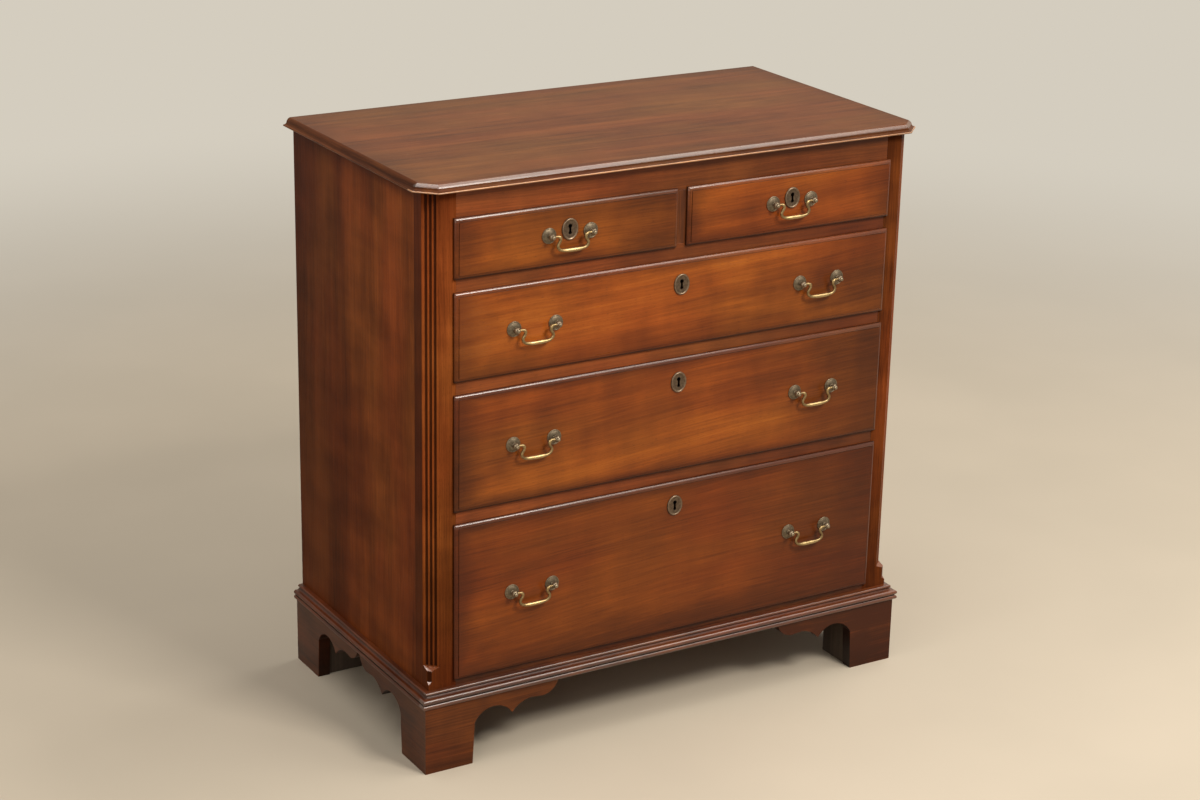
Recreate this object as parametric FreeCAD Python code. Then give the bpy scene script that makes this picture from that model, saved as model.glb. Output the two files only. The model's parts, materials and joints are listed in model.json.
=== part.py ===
import FreeCAD, Part
import math
import os
from collections import namedtuple

# A free-standing chest of drawers: two small drawers over three long graduated ones, with lipped
# fronts, canted and fluted front corners, a moulded top, a base moulding and scrolled bracket feet.
# Millimetres. +X is to the right seen from the front, the front faces -Y, +Z is up and the floor
# is z = 0. The origin is at the middle of the bottom of the whole, pulls included.

# Case
case_width = 928.0
case_depth = 498.0
foot_height = 120.0
side_thickness = 20.0
post_width = 50.0
post_depth = 46.0
rail_depth = 70.0
top_rail_height = 49.0
drawer_rail_height = 31.5
bottom_rail_height = 41.5
stile_width = 29.0
back_thickness = 8.0
back_rabbet = 10.0
bottom_thickness = 12.0

# Drawer openings
small_opening_height = 90.0
upper_opening_height = 139.0
middle_opening_height = 190.0
lower_opening_height = 266.0

# Runners, guides and cleats inside the case
runner_width = 54.0
runner_thickness = 18.0
centre_runner_width = 80.0
guide_height = 18.0
cleat_width = 40.0

# Top board and its moulded edge: an ovolo over a cove over a bead
top_thickness = 14.0
top_side_overhang = 18.5
top_front_overhang = 16.0
top_cant_leg = 31.0
top_bead_radius = 1.4
top_cove_radius = 5.2
top_ovolo_bulge = 0.8

# Canted corner of the post, its flutes and the stop near the foot
cant_leg = 20.5
flute_count = 3
flute_pitch = 7.5
flute_width = 5.2
flute_depth = 2.0
flute_stop_rise = 41.8
ledge_rise = 39.0
ledge_drop = 5.0
tongue_leg = 6.5
tongue_taper_rise = 14.5
tongue_tip_rise = 9.5

# Base moulding and bracket feet
base_moulding_height = 26.0
base_moulding_projection = 17.5
bracket_projection = 12.0
bracket_thickness = 22.0
bracket_length = 252.0
foot_width = 88.0
lobe_gap = 6.0
rear_bracket_thickness = 20.0
rear_bracket_length = 150.0
glue_block_size = 65.0
glue_block_lift = 1.0
glue_strip_size = 20.0
glue_strip_length = 100.0

# Outline of the base moulding from its lower edge up, in shares of projection and height
base_lower_bead_shares = ((0.90, 0.0), (1.0, 0.13), (0.90, 0.26))
base_quirk_shares = (0.80, 0.29)
base_torus_shares = ((0.80, 0.32), (1.0, 0.475), (0.80, 0.63))
base_cove_shares = ((0.76, 0.63), (0.46, 0.67), (0.35, 0.78))
base_upper_bead_shares = ((0.39, 0.78), (0.51, 0.88), (0.41, 0.98))

# Outline of a bracket from the inner edge of the foot on, in shares of its length and height
bracket_spring_shares = (0.365, 0.617)
bracket_arch_shares = ((0.508, 0.808), (0.647, 0.642))
bracket_hollow_shares = ((0.706, 0.752), (0.794, 0.808))
bracket_step_shares = (0.873, 0.790)
bracket_lobe_shares = ((0.958, 0.855), (1.0, 1.0))
rear_bracket_knee_share = 0.55

# Drawers
lip_overlap = 5.0
lip_edge_thickness = 3.2
lip_gap = 0.3
face_proud = 8.0
thumb_width = 7.0
thumb_step = 1.0
thumb_swell_shares = (0.72, 0.30)
front_body_depth = 16.0
fit_clearance = 1.5
runner_clearance = 0.3
drawer_side_thickness = 11.0
drawer_back_thickness = 10.0
drawer_bottom_thickness = 6.0
drawer_bottom_rise = 9.0
drawer_side_drop = 4.0
drawer_back_drop = 6.0
drawer_rear_gap = 12.0
groove_depth = 4.0
tail_length = 11.0
tail_pitch = 34.0
tail_root_share = 0.56
tail_end_share = 0.76

# Locks and keyholes
lock_width = 60.0
lock_height = 56.0
lock_depth = 11.0
bolt_width = 14.0
bolt_thickness = 5.0
bolt_height = 24.0
bolt_travel = 8.0
bolt_clearance = 0.3
mortise_clearance = 1.0
key_depth = 6.0
keyhole_height = 15.5
keyhole_head_radius = 3.0
keyhole_foot_radius = 2.7
keyhole_waist_width = 3.4

# Keyhole plates
escutcheon_width = 30.0
escutcheon_height = 36.0
escutcheon_thickness = 1.8
escutcheon_rim_width = 2.8
escutcheon_rim_height = 1.0
escutcheon_drop = 41.5

# Pulls: rosette, post with ball head, nut and bail
pull_spacing = 76.2
pull_offset = 276.0
pull_rise = 2.0
rosette_radius = 13.0
rosette_edge = 1.5
rosette_dome = 3.5
post_reach = 11.5
post_neck_radius = 3.6
post_head_radius = 5.5
post_tip_radius = 2.4
post_tip_height = 1.0
stud_radius = 2.5
stud_clearance = 0.1
stud_end = 2.0
nut_radius = 7.0
nut_thickness = 4.0
bail_radius = 1.9
bail_bar_radius = 2.6
bail_bar_end_share = 0.8
bail_drop = 27.0
bail_curl_inset = 10.6
bail_curl_radius = 4.5
bail_corner_radius = 8.0
bail_lean_degrees = 25.0
pivot_depth = 5.0
pivot_end_gap = 0.5
pivot_clearance = 0.05

# Screws
top_screw_seat = 22.0
top_screw_bite = 8.0
top_screw_radius = 2.25
top_screw_head_radius = 4.5
top_screw_head_height = 3.0
top_screw_inset = 70.0
back_screw_count = 4
back_screw_length = 24.0
back_screw_radius = 1.6
back_screw_head_radius = 3.4
back_screw_head_height = 2.0
screw_clearance = 0.1

# Length by which a cut runs past the face that it opens
overrun = 2.0

Vec = FreeCAD.Vector
ORIGIN = Vec(0, 0, 0)
X_AXIS = Vec(1, 0, 0)
Y_AXIS = Vec(0, 1, 0)
Z_AXIS = Vec(0, 0, 1)
COS_45 = math.sqrt(0.5)

# Levels and planes worked out from the sizes above
pull_projection = face_proud + post_reach + post_head_radius + post_tip_height
overall_depth = case_depth + pull_projection
back_y = overall_depth / 2
front_y = back_y - case_depth
face_y = front_y - face_proud
body_back_y = front_y + front_body_depth
pivot_y = face_y - post_reach
rail_back_y = front_y + rail_depth
post_back_y = front_y + post_depth
panel_front_y = back_y - back_thickness
side_end_y = panel_front_y - drawer_rear_gap
lock_front_y = body_back_y - lock_depth
bolt_y = body_back_y - lock_depth / 2
half_width = case_width / 2
half_opening = half_width - post_width
half_inside = half_width - side_thickness
half_stile = stile_width / 2
base_top_z = foot_height + base_moulding_height
lower_z = foot_height + bottom_rail_height
middle_z = lower_z + lower_opening_height + drawer_rail_height
upper_z = middle_z + middle_opening_height + drawer_rail_height
small_z = upper_z + upper_opening_height + drawer_rail_height
case_top_z = small_z + small_opening_height + top_rail_height
overall_height = case_top_z + top_thickness
small_centre_x = (half_stile + half_opening) / 2
small_opening_width = half_opening - half_stile
bail_end_x = pull_spacing / 2 - post_head_radius + pivot_depth

# Each drawer: the middle, width, lower edge and height of its opening, and the middles of its pulls,
# measured from the middle of the drawer
Drawer = namedtuple("Drawer", "name centre_x width low_z height pulls")
pair = (-pull_offset, pull_offset)
DRAWERS = (
    Drawer("small_left_drawer", -small_centre_x, small_opening_width, small_z, small_opening_height, (0,)),
    Drawer("small_right_drawer", small_centre_x, small_opening_width, small_z, small_opening_height, (0,)),
    Drawer("upper_drawer", 0, 2 * half_opening, upper_z, upper_opening_height, pair),
    Drawer("middle_drawer", 0, 2 * half_opening, middle_z, middle_opening_height, pair),
    Drawer("lower_drawer", 0, 2 * half_opening, lower_z, lower_opening_height, pair),
)


def box(low, high):
    """A block between two opposite corners, each given as (x, y, z)."""
    size = [b - a for a, b in zip(low, high)]
    return Part.makeBox(size[0], size[1], size[2], Vec(*low))


def mirrored(shape):
    """The same shape on the other side of the middle plane x = 0."""
    return shape.mirror(ORIGIN, X_AXIS)


def outline_edges(points, place):
    """Lines and arcs in a row: each step is an end point, or a point on an arc and its end."""
    here = place(*points[0])
    edges = []
    for step in points[1:]:
        curved = isinstance(step[0], tuple)
        end = place(*step[1]) if curved else place(*step)
        if curved:
            edges.append(Part.Arc(here, place(*step[0]), end).toShape())
        else:
            edges.append(Part.LineSegment(here, end).toShape())
        here = end
    return edges


def outline_face(points, place):
    """A face bounded by lines and arcs, closed by a line from the last point to the first."""
    return Part.Face(Part.Wire(outline_edges(points + points[:1], place)))


def prism(points, place, along):
    """An outline carried straight along a vector."""
    return outline_face(points, place).extrude(along)


def in_xz(y):
    """Place outline points (x, z) at depth y."""
    return lambda u, v: Vec(u, y, v)


def in_yz(x):
    """Place outline points (y, z) at width x."""
    return lambda u, v: Vec(x, u, v)


def in_xy(z):
    """Place outline points (x, y) at height z."""
    return lambda u, v: Vec(u, v, z)


def scaled(shares, size_u, size_v):
    """A point, or a pair of points, given in shares of two sizes."""
    if isinstance(shares[0], tuple):
        return tuple(scaled(pair, size_u, size_v) for pair in shares)
    return (shares[0] * size_u, shares[1] * size_v)


def write(name, shapes):
    """Write one node: a single solid, or a group of separate ones."""
    solids = [solid for shape in shapes for solid in shape.Solids]
    node = solids[0] if len(solids) == 1 else Part.makeCompound(solids)
    node.exportStep("parts/" + name + ".step")
    print(name, len(solids), round(sum(solid.Volume for solid in solids)))


# Top board

def top_edge_points(reach):
    """Section of the top from its outermost line (u = 0) inwards: bead, cove and ovolo going up."""
    bead = top_bead_radius
    cove = top_cove_radius
    cove_foot = 2 * bead
    cove_top = cove_foot + cove
    ovolo = top_thickness - cove_top
    shoulder = -bead - cove
    cove_middle = (-bead - cove * COS_45, cove_top - cove * COS_45)
    bulge = top_ovolo_bulge * COS_45
    ovolo_middle = (shoulder - ovolo / 2 + bulge, cove_top + ovolo / 2 + bulge)
    return [
        (-reach, 0),
        (-bead, 0),
        ((0, bead), (-bead, cove_foot)),
        (cove_middle, (shoulder, cove_top)),
        (ovolo_middle, (shoulder - ovolo, top_thickness)),
        (-reach, top_thickness),
    ]


def top_edge_slab(corner, outward, reach):
    """A slab that ends in the moulded edge on the line through corner, square to outward."""
    along = Z_AXIS.cross(outward)
    span = case_width + case_depth
    base = corner - along * span
    points = top_edge_points(reach)
    return prism(points, lambda u, v: base + outward * u + Z_AXIS * v, along * (2 * span))


def make_top_board(screw_holes):
    """The top, made of two halves: what slabs for three moulded edges have in common is mitred by itself."""
    right_x = half_width + top_side_overhang
    edge_y = front_y - top_front_overhang
    right = top_edge_slab(Vec(right_x, 0, case_top_z), X_AXIS, right_x)
    front = top_edge_slab(Vec(0, edge_y, case_top_z), -Y_AXIS, back_y - edge_y)
    cant_corner = Vec(right_x, edge_y + top_cant_leg, case_top_z)
    cant = top_edge_slab(cant_corner, Vec(COS_45, -COS_45, 0), case_width + case_depth)
    half = right.common(front).common(cant)
    return half.fuse(mirrored(half)).removeSplitter().cut(screw_holes)


# Corner posts

def make_right_post():
    """A corner post: cant, flutes that run up to the top, and a ledge and tongue where the cant stops."""
    post = box((half_opening, front_y, foot_height), (half_width, post_back_y, case_top_z))
    ledge_z = base_top_z + ledge_rise
    top_z = case_top_z + overrun
    post = post.cut(corner_wedge(cant_leg, ledge_z, top_z))
    ledge = ledge_cut(ledge_z)
    tongue = corner_wedge(tongue_leg, base_top_z + tongue_taper_rise, ledge_z)
    tip = tongue_tip_cut()
    return post.cut(ledge).cut(tongue).cut(tip).cut(flute_cuts())


def corner_wedge(leg, low_z, high_z):
    """The three-cornered prism that leaves a cant with the given leg on the outer front corner."""
    outer_x = half_width + overrun
    outer_y = front_y - overrun
    cant_line = half_width - front_y - leg
    corner = [(outer_x, outer_y), (outer_x, outer_x - cant_line), (outer_y + cant_line, outer_y)]
    return prism(corner, in_xy(low_z), Z_AXIS * (high_z - low_z))


def ledge_cut(ledge_z):
    """The sloping ledge below the cant, from the full cant down and out to the small one."""
    upper = wedge_section(cant_leg, ledge_z)
    lower = wedge_section(tongue_leg, ledge_z - ledge_drop)
    return Part.makeLoft([upper, lower], True, True)


def wedge_section(leg, z):
    """The triangle that a cant with this leg takes off the square corner at height z."""
    corner = Vec(half_width, front_y, z)
    side = Vec(half_width, front_y + leg, z)
    front = Vec(half_width - leg, front_y, z)
    return Part.makePolygon([corner, side, front, corner])


def tongue_tip_cut():
    """The pointed lower end of the tongue: a pyramid that runs out to the square corner."""
    tip = Vec(half_width, front_y, base_top_z + tongue_tip_rise)
    upper = wedge_section(tongue_leg, base_top_z + tongue_taper_rise)
    faces = [Part.Face(upper)]
    for edge in upper.Edges:
        ends = [vertex.Point for vertex in edge.Vertexes]
        faces.append(Part.Face(Part.makePolygon([ends[0], ends[1], tip, ends[0]])))
    return Part.makeSolid(Part.makeShell(faces))


def flute_cuts():
    """Upright round-bottomed grooves, side by side on the cant."""
    radius = (flute_width ** 2 / 4 + flute_depth ** 2) / (2 * flute_depth)
    outward = Vec(COS_45, -COS_45, 0)
    along = Vec(COS_45, COS_45, 0)
    low_z = base_top_z + flute_stop_rise
    middle = Vec(half_width - cant_leg / 2, front_y + cant_leg / 2, low_z)
    height = case_top_z + overrun - low_z
    cuts = []
    for number in range(flute_count):
        offset = (number - (flute_count - 1) / 2) * flute_pitch
        centre = middle + along * offset + outward * (radius - flute_depth)
        cuts.append(Part.makeCylinder(radius, height, centre, Z_AXIS))
        cuts.append(Part.makeSphere(radius, centre))
    return cuts


# Rails, stile, panels and what lies inside the case

def rail(low_z, height):
    """A rail across the front, between the two posts."""
    return box((-half_opening, front_y, low_z), (half_opening, rail_back_y, low_z + height))


def bolt_mortise(drawer):
    """The hole in the rail above a drawer that takes the end of its lock bolt."""
    rail_z = drawer.low_z + drawer.height
    half = bolt_width / 2 + mortise_clearance
    reach = bolt_thickness / 2 + mortise_clearance
    low = (drawer.centre_x - half, bolt_y - reach, rail_z - overrun)
    high = (drawer.centre_x + half, bolt_y + reach, rail_z + bolt_travel + mortise_clearance)
    return box(low, high)


def make_right_side(back_panel):
    """A side panel, behind the corner post, rabbeted for the back panel."""
    side = box((half_inside, post_back_y, foot_height), (half_width, back_y, case_top_z))
    return side.cut(back_panel)


def make_back_panel():
    """The back panel, let into the side panels."""
    half = half_width - back_rabbet
    return box((-half, panel_front_y, foot_height), (half, back_y, case_top_z))


def make_runners():
    """A left and a right runner level with each rail, and a centre one for the small drawers."""
    runners = []
    for low_z in (lower_z, middle_z, upper_z, small_z):
        low = (half_inside - runner_width, rail_back_y, low_z - runner_thickness)
        runner = box(low, (half_inside, panel_front_y, low_z))
        runners += [runner, mirrored(runner)]
    half = centre_runner_width / 2
    runners.append(box((-half, rail_back_y, small_z - runner_thickness), (half, panel_front_y, small_z)))
    return runners


def make_guides():
    """Strips on the runners, flush with the edges of the openings."""
    guides = []
    for low_z in (lower_z, middle_z, upper_z, small_z):
        guide = box((half_opening, rail_back_y, low_z), (half_inside, panel_front_y, low_z + guide_height))
        guides += [guide, mirrored(guide)]
    high = (half_stile, panel_front_y, small_z + guide_height)
    guides.append(box((-half_stile, rail_back_y, small_z), high))
    return guides


def cleat_centres():
    """Middles of the three cleats under the top."""
    outer = half_inside - cleat_width / 2
    return (-outer, 0, outer)


def make_cleats(screw_holes):
    """Blocks under the top, as deep as the top rail, which the top is screwed to."""
    cleats = []
    low_z = case_top_z - top_rail_height
    for centre_x in cleat_centres():
        low = (centre_x - cleat_width / 2, rail_back_y, low_z)
        high = (centre_x + cleat_width / 2, panel_front_y, case_top_z)
        cleats.append(box(low, high).cut(screw_holes))
    return cleats


def make_bottom_board():
    """The board that closes the case below the lowest drawer."""
    low = (-half_inside, rail_back_y, foot_height)
    return box(low, (half_inside, panel_front_y, foot_height + bottom_thickness))


# Screws

def top_screws(gap):
    """Screws up through the cleats into the top. With a gap they are the holes, seats included."""
    low_z = case_top_z - top_rail_height
    seat_z = low_z + top_screw_seat
    shank_length = case_top_z + top_screw_bite - seat_z
    bodies = []
    for centre_x in cleat_centres():
        for y in (rail_back_y + top_screw_inset, panel_front_y - top_screw_inset):
            seat = Vec(centre_x, y, seat_z)
            shank = Part.makeCylinder(top_screw_radius + gap, shank_length + gap, seat, Z_AXIS)
            head_height = top_screw_seat + overrun if gap else top_screw_head_height
            head_base = seat - Z_AXIS * head_height
            head = Part.makeCylinder(top_screw_head_radius + gap, head_height, head_base, Z_AXIS)
            bodies.append(shank.fuse(head).removeSplitter())
    return bodies


def back_screws(gap):
    """Screws through the edges of the back panel into the side panels. With a gap they are the holes."""
    edge_x = (half_inside + half_width - back_rabbet) / 2
    height = case_top_z - foot_height
    bodies = []
    for number in range(back_screw_count):
        z = foot_height + height * (number + 0.5) / back_screw_count
        for x in (-edge_x, edge_x):
            head_base = Vec(x, back_y, z)
            shank_length = back_screw_length + gap
            shank = Part.makeCylinder(back_screw_radius + gap, shank_length, head_base, -Y_AXIS)
            head_radius = back_screw_head_radius + gap
            head = Part.makeCylinder(head_radius, back_screw_head_height, head_base, -Y_AXIS)
            bodies.append(shank.fuse(head).removeSplitter())
    return bodies


# Base moulding and feet

def base_points():
    """Section of the base moulding: (0, 0) is its lower edge on the face of the case."""
    p = base_moulding_projection
    h = base_moulding_height
    lower = scaled(base_lower_bead_shares, p, h)
    torus = scaled(base_torus_shares, p, h)
    cove = scaled(base_cove_shares, p, h)
    upper = scaled(base_upper_bead_shares, p, h)
    quirk = scaled(base_quirk_shares, p, h)
    return [
        (0, 0),
        lower[0],
        (lower[1], lower[2]),
        quirk,
        torus[0],
        (torus[1], torus[2]),
        cove[0],
        (cove[1], cove[2]),
        upper[0],
        (upper[1], upper[2]),
        (0, h),
    ]


def mitre_halves(low_z, high_z, size):
    """Two blocks that meet at the mitre of the right front corner: its front part and its side part."""
    outer = (half_width + size, front_y - size)
    inner = (half_width - size, front_y + size)
    height = Z_AXIS * (high_z - low_z)
    front = prism([inner, outer, (half_width - size, front_y - size)], in_xy(low_z), height)
    side = prism([inner, outer, (half_width + size, front_y + size)], in_xy(low_z), height)
    return front, side


def make_base_mouldings():
    """Front, right and left lengths of the base moulding, mitred at the front corners."""
    size = 2 * base_moulding_projection
    end_x = half_width + base_moulding_projection
    end_y = front_y - base_moulding_projection
    across = X_AXIS * (2 * end_x)
    along = Y_AXIS * (back_y - end_y)
    front = prism(base_points(), lambda u, v: Vec(-end_x, front_y - u, foot_height + v), across)
    right = prism(base_points(), lambda u, v: Vec(half_width + u, end_y, foot_height + v), along)
    front_half, side_half = mitre_halves(foot_height - overrun, base_top_z + overrun, size)
    front = front.cut([side_half, mirrored(side_half)])
    right = right.cut(front_half)
    return [front, right, mirrored(right)]


def bracket_points(length):
    """Outline of a bracket foot: u runs along the board from the outer corner, v up from the floor."""
    spring = scaled(bracket_spring_shares, length, foot_height)
    arch = scaled(bracket_arch_shares, length, foot_height)
    hollow = scaled(bracket_hollow_shares, length, foot_height)
    step = scaled(bracket_step_shares, length, foot_height)
    lobe = scaled(bracket_lobe_shares, length, foot_height)
    return [(0, 0), (foot_width, 0), spring, arch, hollow, step, lobe, (0, foot_height)]


def make_right_front_foot():
    """Two scrolled boards, mitred at the outer corner."""
    outer_x = half_width + bracket_projection
    outer_y = front_y - bracket_projection
    inward = Y_AXIS * bracket_thickness
    front = prism(bracket_points(bracket_length), lambda u, v: Vec(outer_x - u, outer_y, v), inward)
    side = prism(bracket_points(side_bracket_length()), lambda u, v: Vec(outer_x, outer_y + u, v),
                 X_AXIS * -bracket_thickness)
    size = 2 * (bracket_thickness + bracket_projection)
    front_half, side_half = mitre_halves(-overrun, foot_height + overrun, size)
    return [front.cut(side_half), side.cut(front_half)]


def side_bracket_length():
    """Each side has two brackets whose lobes nearly meet in the middle."""
    return (case_depth + bracket_projection - lobe_gap) / 2


def make_right_back_foot():
    """A scrolled side board, and a plain board across the back that butts against it."""
    outer_x = half_width + bracket_projection
    inner_x = outer_x - bracket_thickness
    side = prism(bracket_points(side_bracket_length()), lambda u, v: Vec(outer_x, back_y - u, v),
                 X_AXIS * -bracket_thickness)
    knee = foot_height * rear_bracket_knee_share
    plain = [
        (inner_x, 0),
        (outer_x - foot_width, 0),
        (outer_x - foot_width, knee),
        (inner_x - rear_bracket_length, foot_height),
        (inner_x, foot_height),
    ]
    rear = prism(plain, in_xz(back_y - rear_bracket_thickness), Y_AXIS * rear_bracket_thickness)
    return [side, rear]


def make_glue_blocks():
    """Upright blocks in the corners of the feet, and strips along the tops of the brackets."""
    inner_x = half_width + bracket_projection - bracket_thickness
    inner_y = front_y - bracket_projection + bracket_thickness
    rear_y = back_y - rear_bracket_thickness
    size = glue_block_size
    front = box((inner_x - size, inner_y, glue_block_lift), (inner_x, inner_y + size, foot_height))
    rear = box((inner_x - size, rear_y - size, glue_block_lift), (inner_x, rear_y, foot_height))
    strip_z = foot_height - glue_strip_size
    start_x = inner_x - size
    low = (start_x - glue_strip_length, inner_y, strip_z)
    along_front = box(low, (start_x, inner_y + glue_strip_size, foot_height))
    low_x = inner_x - glue_strip_size
    start_y = inner_y + size
    along_side = box((low_x, start_y, strip_z), (inner_x, start_y + glue_strip_length, foot_height))
    end_y = rear_y - size
    along_rear = box((low_x, end_y - glue_strip_length, strip_z), (inner_x, end_y, foot_height))
    blocks = [front, rear, along_front, along_side, along_rear]
    return blocks + [mirrored(block) for block in blocks]


# Drawers

def lip_points(width):
    """Section of a lipped front across its width: thumbnail edges, a small step and the flat field."""
    edge = width / 2
    field = edge - thumb_width
    step_top = face_proud - lip_gap
    step_foot = step_top - thumb_step
    fall = step_foot - lip_edge_thickness
    swell_u = field + thumb_width * thumb_swell_shares[0]
    swell_v = step_foot - fall * thumb_swell_shares[1]
    return [
        (-edge, 0),
        (-edge, lip_edge_thickness),
        ((-swell_u, swell_v), (-field, step_foot)),
        (-field, step_top),
        (field, step_top),
        (field, step_foot),
        ((swell_u, swell_v), (edge, lip_edge_thickness)),
        (edge, 0),
    ]


def drawer_levels(drawer):
    """Heights on a drawer: underside, top of the body, top of the sides, and middle of the pulls."""
    under_z = drawer.low_z + runner_clearance
    body_top_z = drawer.low_z + drawer.height - fit_clearance
    side_top_z = drawer.low_z + drawer.height - drawer_side_drop
    pull_z = drawer.low_z + drawer.height / 2 + pull_rise
    return under_z, body_top_z, side_top_z, pull_z


def keyhole_z(drawer):
    """Height of the middle of the keyhole plate."""
    return drawer.low_z + drawer.height + lip_overlap - escutcheon_drop


def keyhole_cut(drawer):
    """A keyhole from the plate through to the inside of the lock: two round ends and a narrow waist."""
    x = drawer.centre_x
    plate_z = keyhole_z(drawer)
    start_y = face_y - escutcheon_thickness - escutcheon_rim_height - overrun
    end_y = lock_front_y + key_depth
    head_z = plate_z + keyhole_height / 2 - keyhole_head_radius
    foot_z = plate_z - keyhole_height / 2 + keyhole_foot_radius
    half = keyhole_waist_width / 2
    waist = box((x - half, start_y, foot_z), (x + half, end_y, head_z))
    head = Part.makeCylinder(keyhole_head_radius, end_y - start_y, Vec(x, start_y, head_z), Y_AXIS)
    foot = Part.makeCylinder(keyhole_foot_radius, end_y - start_y, Vec(x, start_y, foot_z), Y_AXIS)
    return waist.fuse([head, foot]).removeSplitter()


def lock_block(drawer):
    """The space that the lock case fills, let into the back of the front and level with its top edge."""
    under_z, body_top_z, side_top_z, pull_z = drawer_levels(drawer)
    low = (drawer.centre_x - lock_width / 2, lock_front_y, body_top_z - lock_height)
    return box(low, (drawer.centre_x + lock_width / 2, body_back_y, body_top_z))


def bolt_block(drawer, gap):
    """The lock bolt. With a gap it is the slot in the lock case, open at the top."""
    under_z, body_top_z, side_top_z, pull_z = drawer_levels(drawer)
    half = bolt_width / 2 + gap
    reach = bolt_thickness / 2 + gap
    top_z = body_top_z + overrun if gap else body_top_z - bolt_clearance
    low = (drawer.centre_x - half, bolt_y - reach, body_top_z - bolt_height - gap)
    return box(low, (drawer.centre_x + half, bolt_y + reach, top_z))


def dovetail_tails(drawer, inner_x, outer_x):
    """Tails on the front end of a drawer side, wider at their ends than at their roots."""
    under_z, body_top_z, side_top_z, pull_z = drawer_levels(drawer)
    height = side_top_z - under_z
    count = max(2, round(height / tail_pitch))
    pitch = height / count
    end_y = body_back_y - tail_length
    tails = []
    for number in range(count):
        middle = under_z + pitch * (number + 0.5)
        root = pitch * tail_root_share / 2
        end = pitch * tail_end_share / 2
        points = [
            (body_back_y, middle - root),
            (end_y, middle - end),
            (end_y, middle + end),
            (body_back_y, middle + root),
        ]
        tails.append(prism(points, in_yz(inner_x), X_AXIS * (outer_x - inner_x)))
    return tails


def drawer_bottom(drawer):
    """The bottom panel, let into grooves in the sides and the front, flush with the ends of the sides."""
    half = drawer.width / 2 - fit_clearance - drawer_side_thickness + groove_depth
    panel_z = drawer.low_z + runner_clearance + drawer_bottom_rise
    low = (drawer.centre_x - half, body_back_y - groove_depth, panel_z)
    return box(low, (drawer.centre_x + half, side_end_y, panel_z + drawer_bottom_thickness))


def make_drawer_box(drawer):
    """Two sides, the bottom and the back, and the tails that the front has to make room for."""
    centre_x = drawer.centre_x
    under_z, body_top_z, side_top_z, pull_z = drawer_levels(drawer)
    bottom = drawer_bottom(drawer)
    outer = drawer.width / 2 - fit_clearance
    inner = outer - drawer_side_thickness
    sides = []
    tails = []
    for low_x, high_x in ((centre_x - outer, centre_x - inner), (centre_x + inner, centre_x + outer)):
        ends = dovetail_tails(drawer, low_x, high_x)
        board = box((low_x, body_back_y, under_z), (high_x, side_end_y, side_top_z))
        sides.append(board.fuse(ends).removeSplitter().cut(bottom))
        tails += ends
    back_low = (centre_x - inner, side_end_y - drawer_back_thickness, bottom.BoundBox.ZMax)
    back = box(back_low, (centre_x + inner, side_end_y, side_top_z - drawer_back_drop))
    return sides + [back, bottom], tails


def make_drawer_front(drawer, tails):
    """The lipped front with its dovetail sockets, bottom groove, lock pocket, keyhole and stud holes."""
    x = drawer.centre_x
    z = drawer.low_z + drawer.height / 2
    under_z, body_top_z, side_top_z, pull_z = drawer_levels(drawer)
    lip_y = front_y - lip_gap
    wide = drawer.width + 2 * lip_overlap
    high = drawer.height + 2 * lip_overlap
    upright = prism(lip_points(wide), lambda u, v: Vec(x + u, lip_y - v, z - high / 2), Z_AXIS * high)
    across = prism(lip_points(high), lambda u, v: Vec(x - wide / 2, lip_y - v, z + u), X_AXIS * wide)
    half = drawer.width / 2 - fit_clearance
    body = box((x - half, lip_y, under_z), (x + half, body_back_y, body_top_z))
    front = upright.common(across).fuse(body).removeSplitter()
    front = front.cut(tails + [drawer_bottom(drawer), lock_block(drawer), keyhole_cut(drawer)])
    holes = [stud(post_x, pull_z, stud_clearance) for post_x in post_centres(drawer)]
    return front.cut(holes)


def post_centres(drawer):
    """Places across the drawer of the two posts of each pull."""
    half = pull_spacing / 2
    return [drawer.centre_x + pull + side for pull in drawer.pulls for side in (-half, half)]


def stud(x, z, gap):
    """The threaded stem of a post, through the rosette and the drawer front to past the nut."""
    start_y = face_y - rosette_edge - rosette_dome
    length = body_back_y + nut_thickness + stud_end - start_y
    return Part.makeCylinder(stud_radius + gap, length, Vec(x, start_y, z), Y_AXIS)


def make_rosette(x, z):
    """A round plate with a flat back and a domed face, pierced for the stem of the post."""
    apex = rosette_edge + rosette_dome
    dome_radius = (rosette_radius ** 2 + rosette_dome ** 2) / (2 * rosette_dome)
    half_angle = math.asin(rosette_radius / dome_radius) / 2
    swell = (dome_radius * math.sin(half_angle), apex - dome_radius * (1 - math.cos(half_angle)))
    points = [(0, 0), (rosette_radius, 0), (rosette_radius, rosette_edge), (swell, (0, apex))]
    section = outline_face(points, lambda u, v: Vec(x + u, face_y - v, z))
    plate = section.revolve(Vec(x, face_y, z), Y_AXIS, 360)
    return plate.cut(stud(x, z, stud_clearance))


def make_post(x, z, inward):
    """Stem, neck, ball head and tip of a post, with a blind hole in the head for the end of the bail."""
    neck_y = face_y - rosette_edge - rosette_dome
    head = Part.makeSphere(post_head_radius, Vec(x, pivot_y, z))
    neck = Part.makeCylinder(post_neck_radius, neck_y - pivot_y, Vec(x, pivot_y, z), Y_AXIS)
    tip_length = post_head_radius + post_tip_height
    tip = Part.makeCylinder(post_tip_radius, tip_length, Vec(x, pivot_y, z), -Y_AXIS)
    post = head.fuse([neck, tip, stud(x, z, 0)]).removeSplitter()
    mouth = Vec(x + inward * (post_head_radius + overrun), pivot_y, z)
    depth = overrun + pivot_depth + pivot_end_gap
    return post.cut(Part.makeCylinder(bail_radius + pivot_clearance, depth, mouth, X_AXIS * -inward))


def make_nut(x, z):
    """A round nut on the inside of the drawer front."""
    nut = Part.makeCylinder(nut_radius, nut_thickness, Vec(x, body_back_y, z), Y_AXIS)
    return nut.cut(stud(x, z, stud_clearance))


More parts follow.
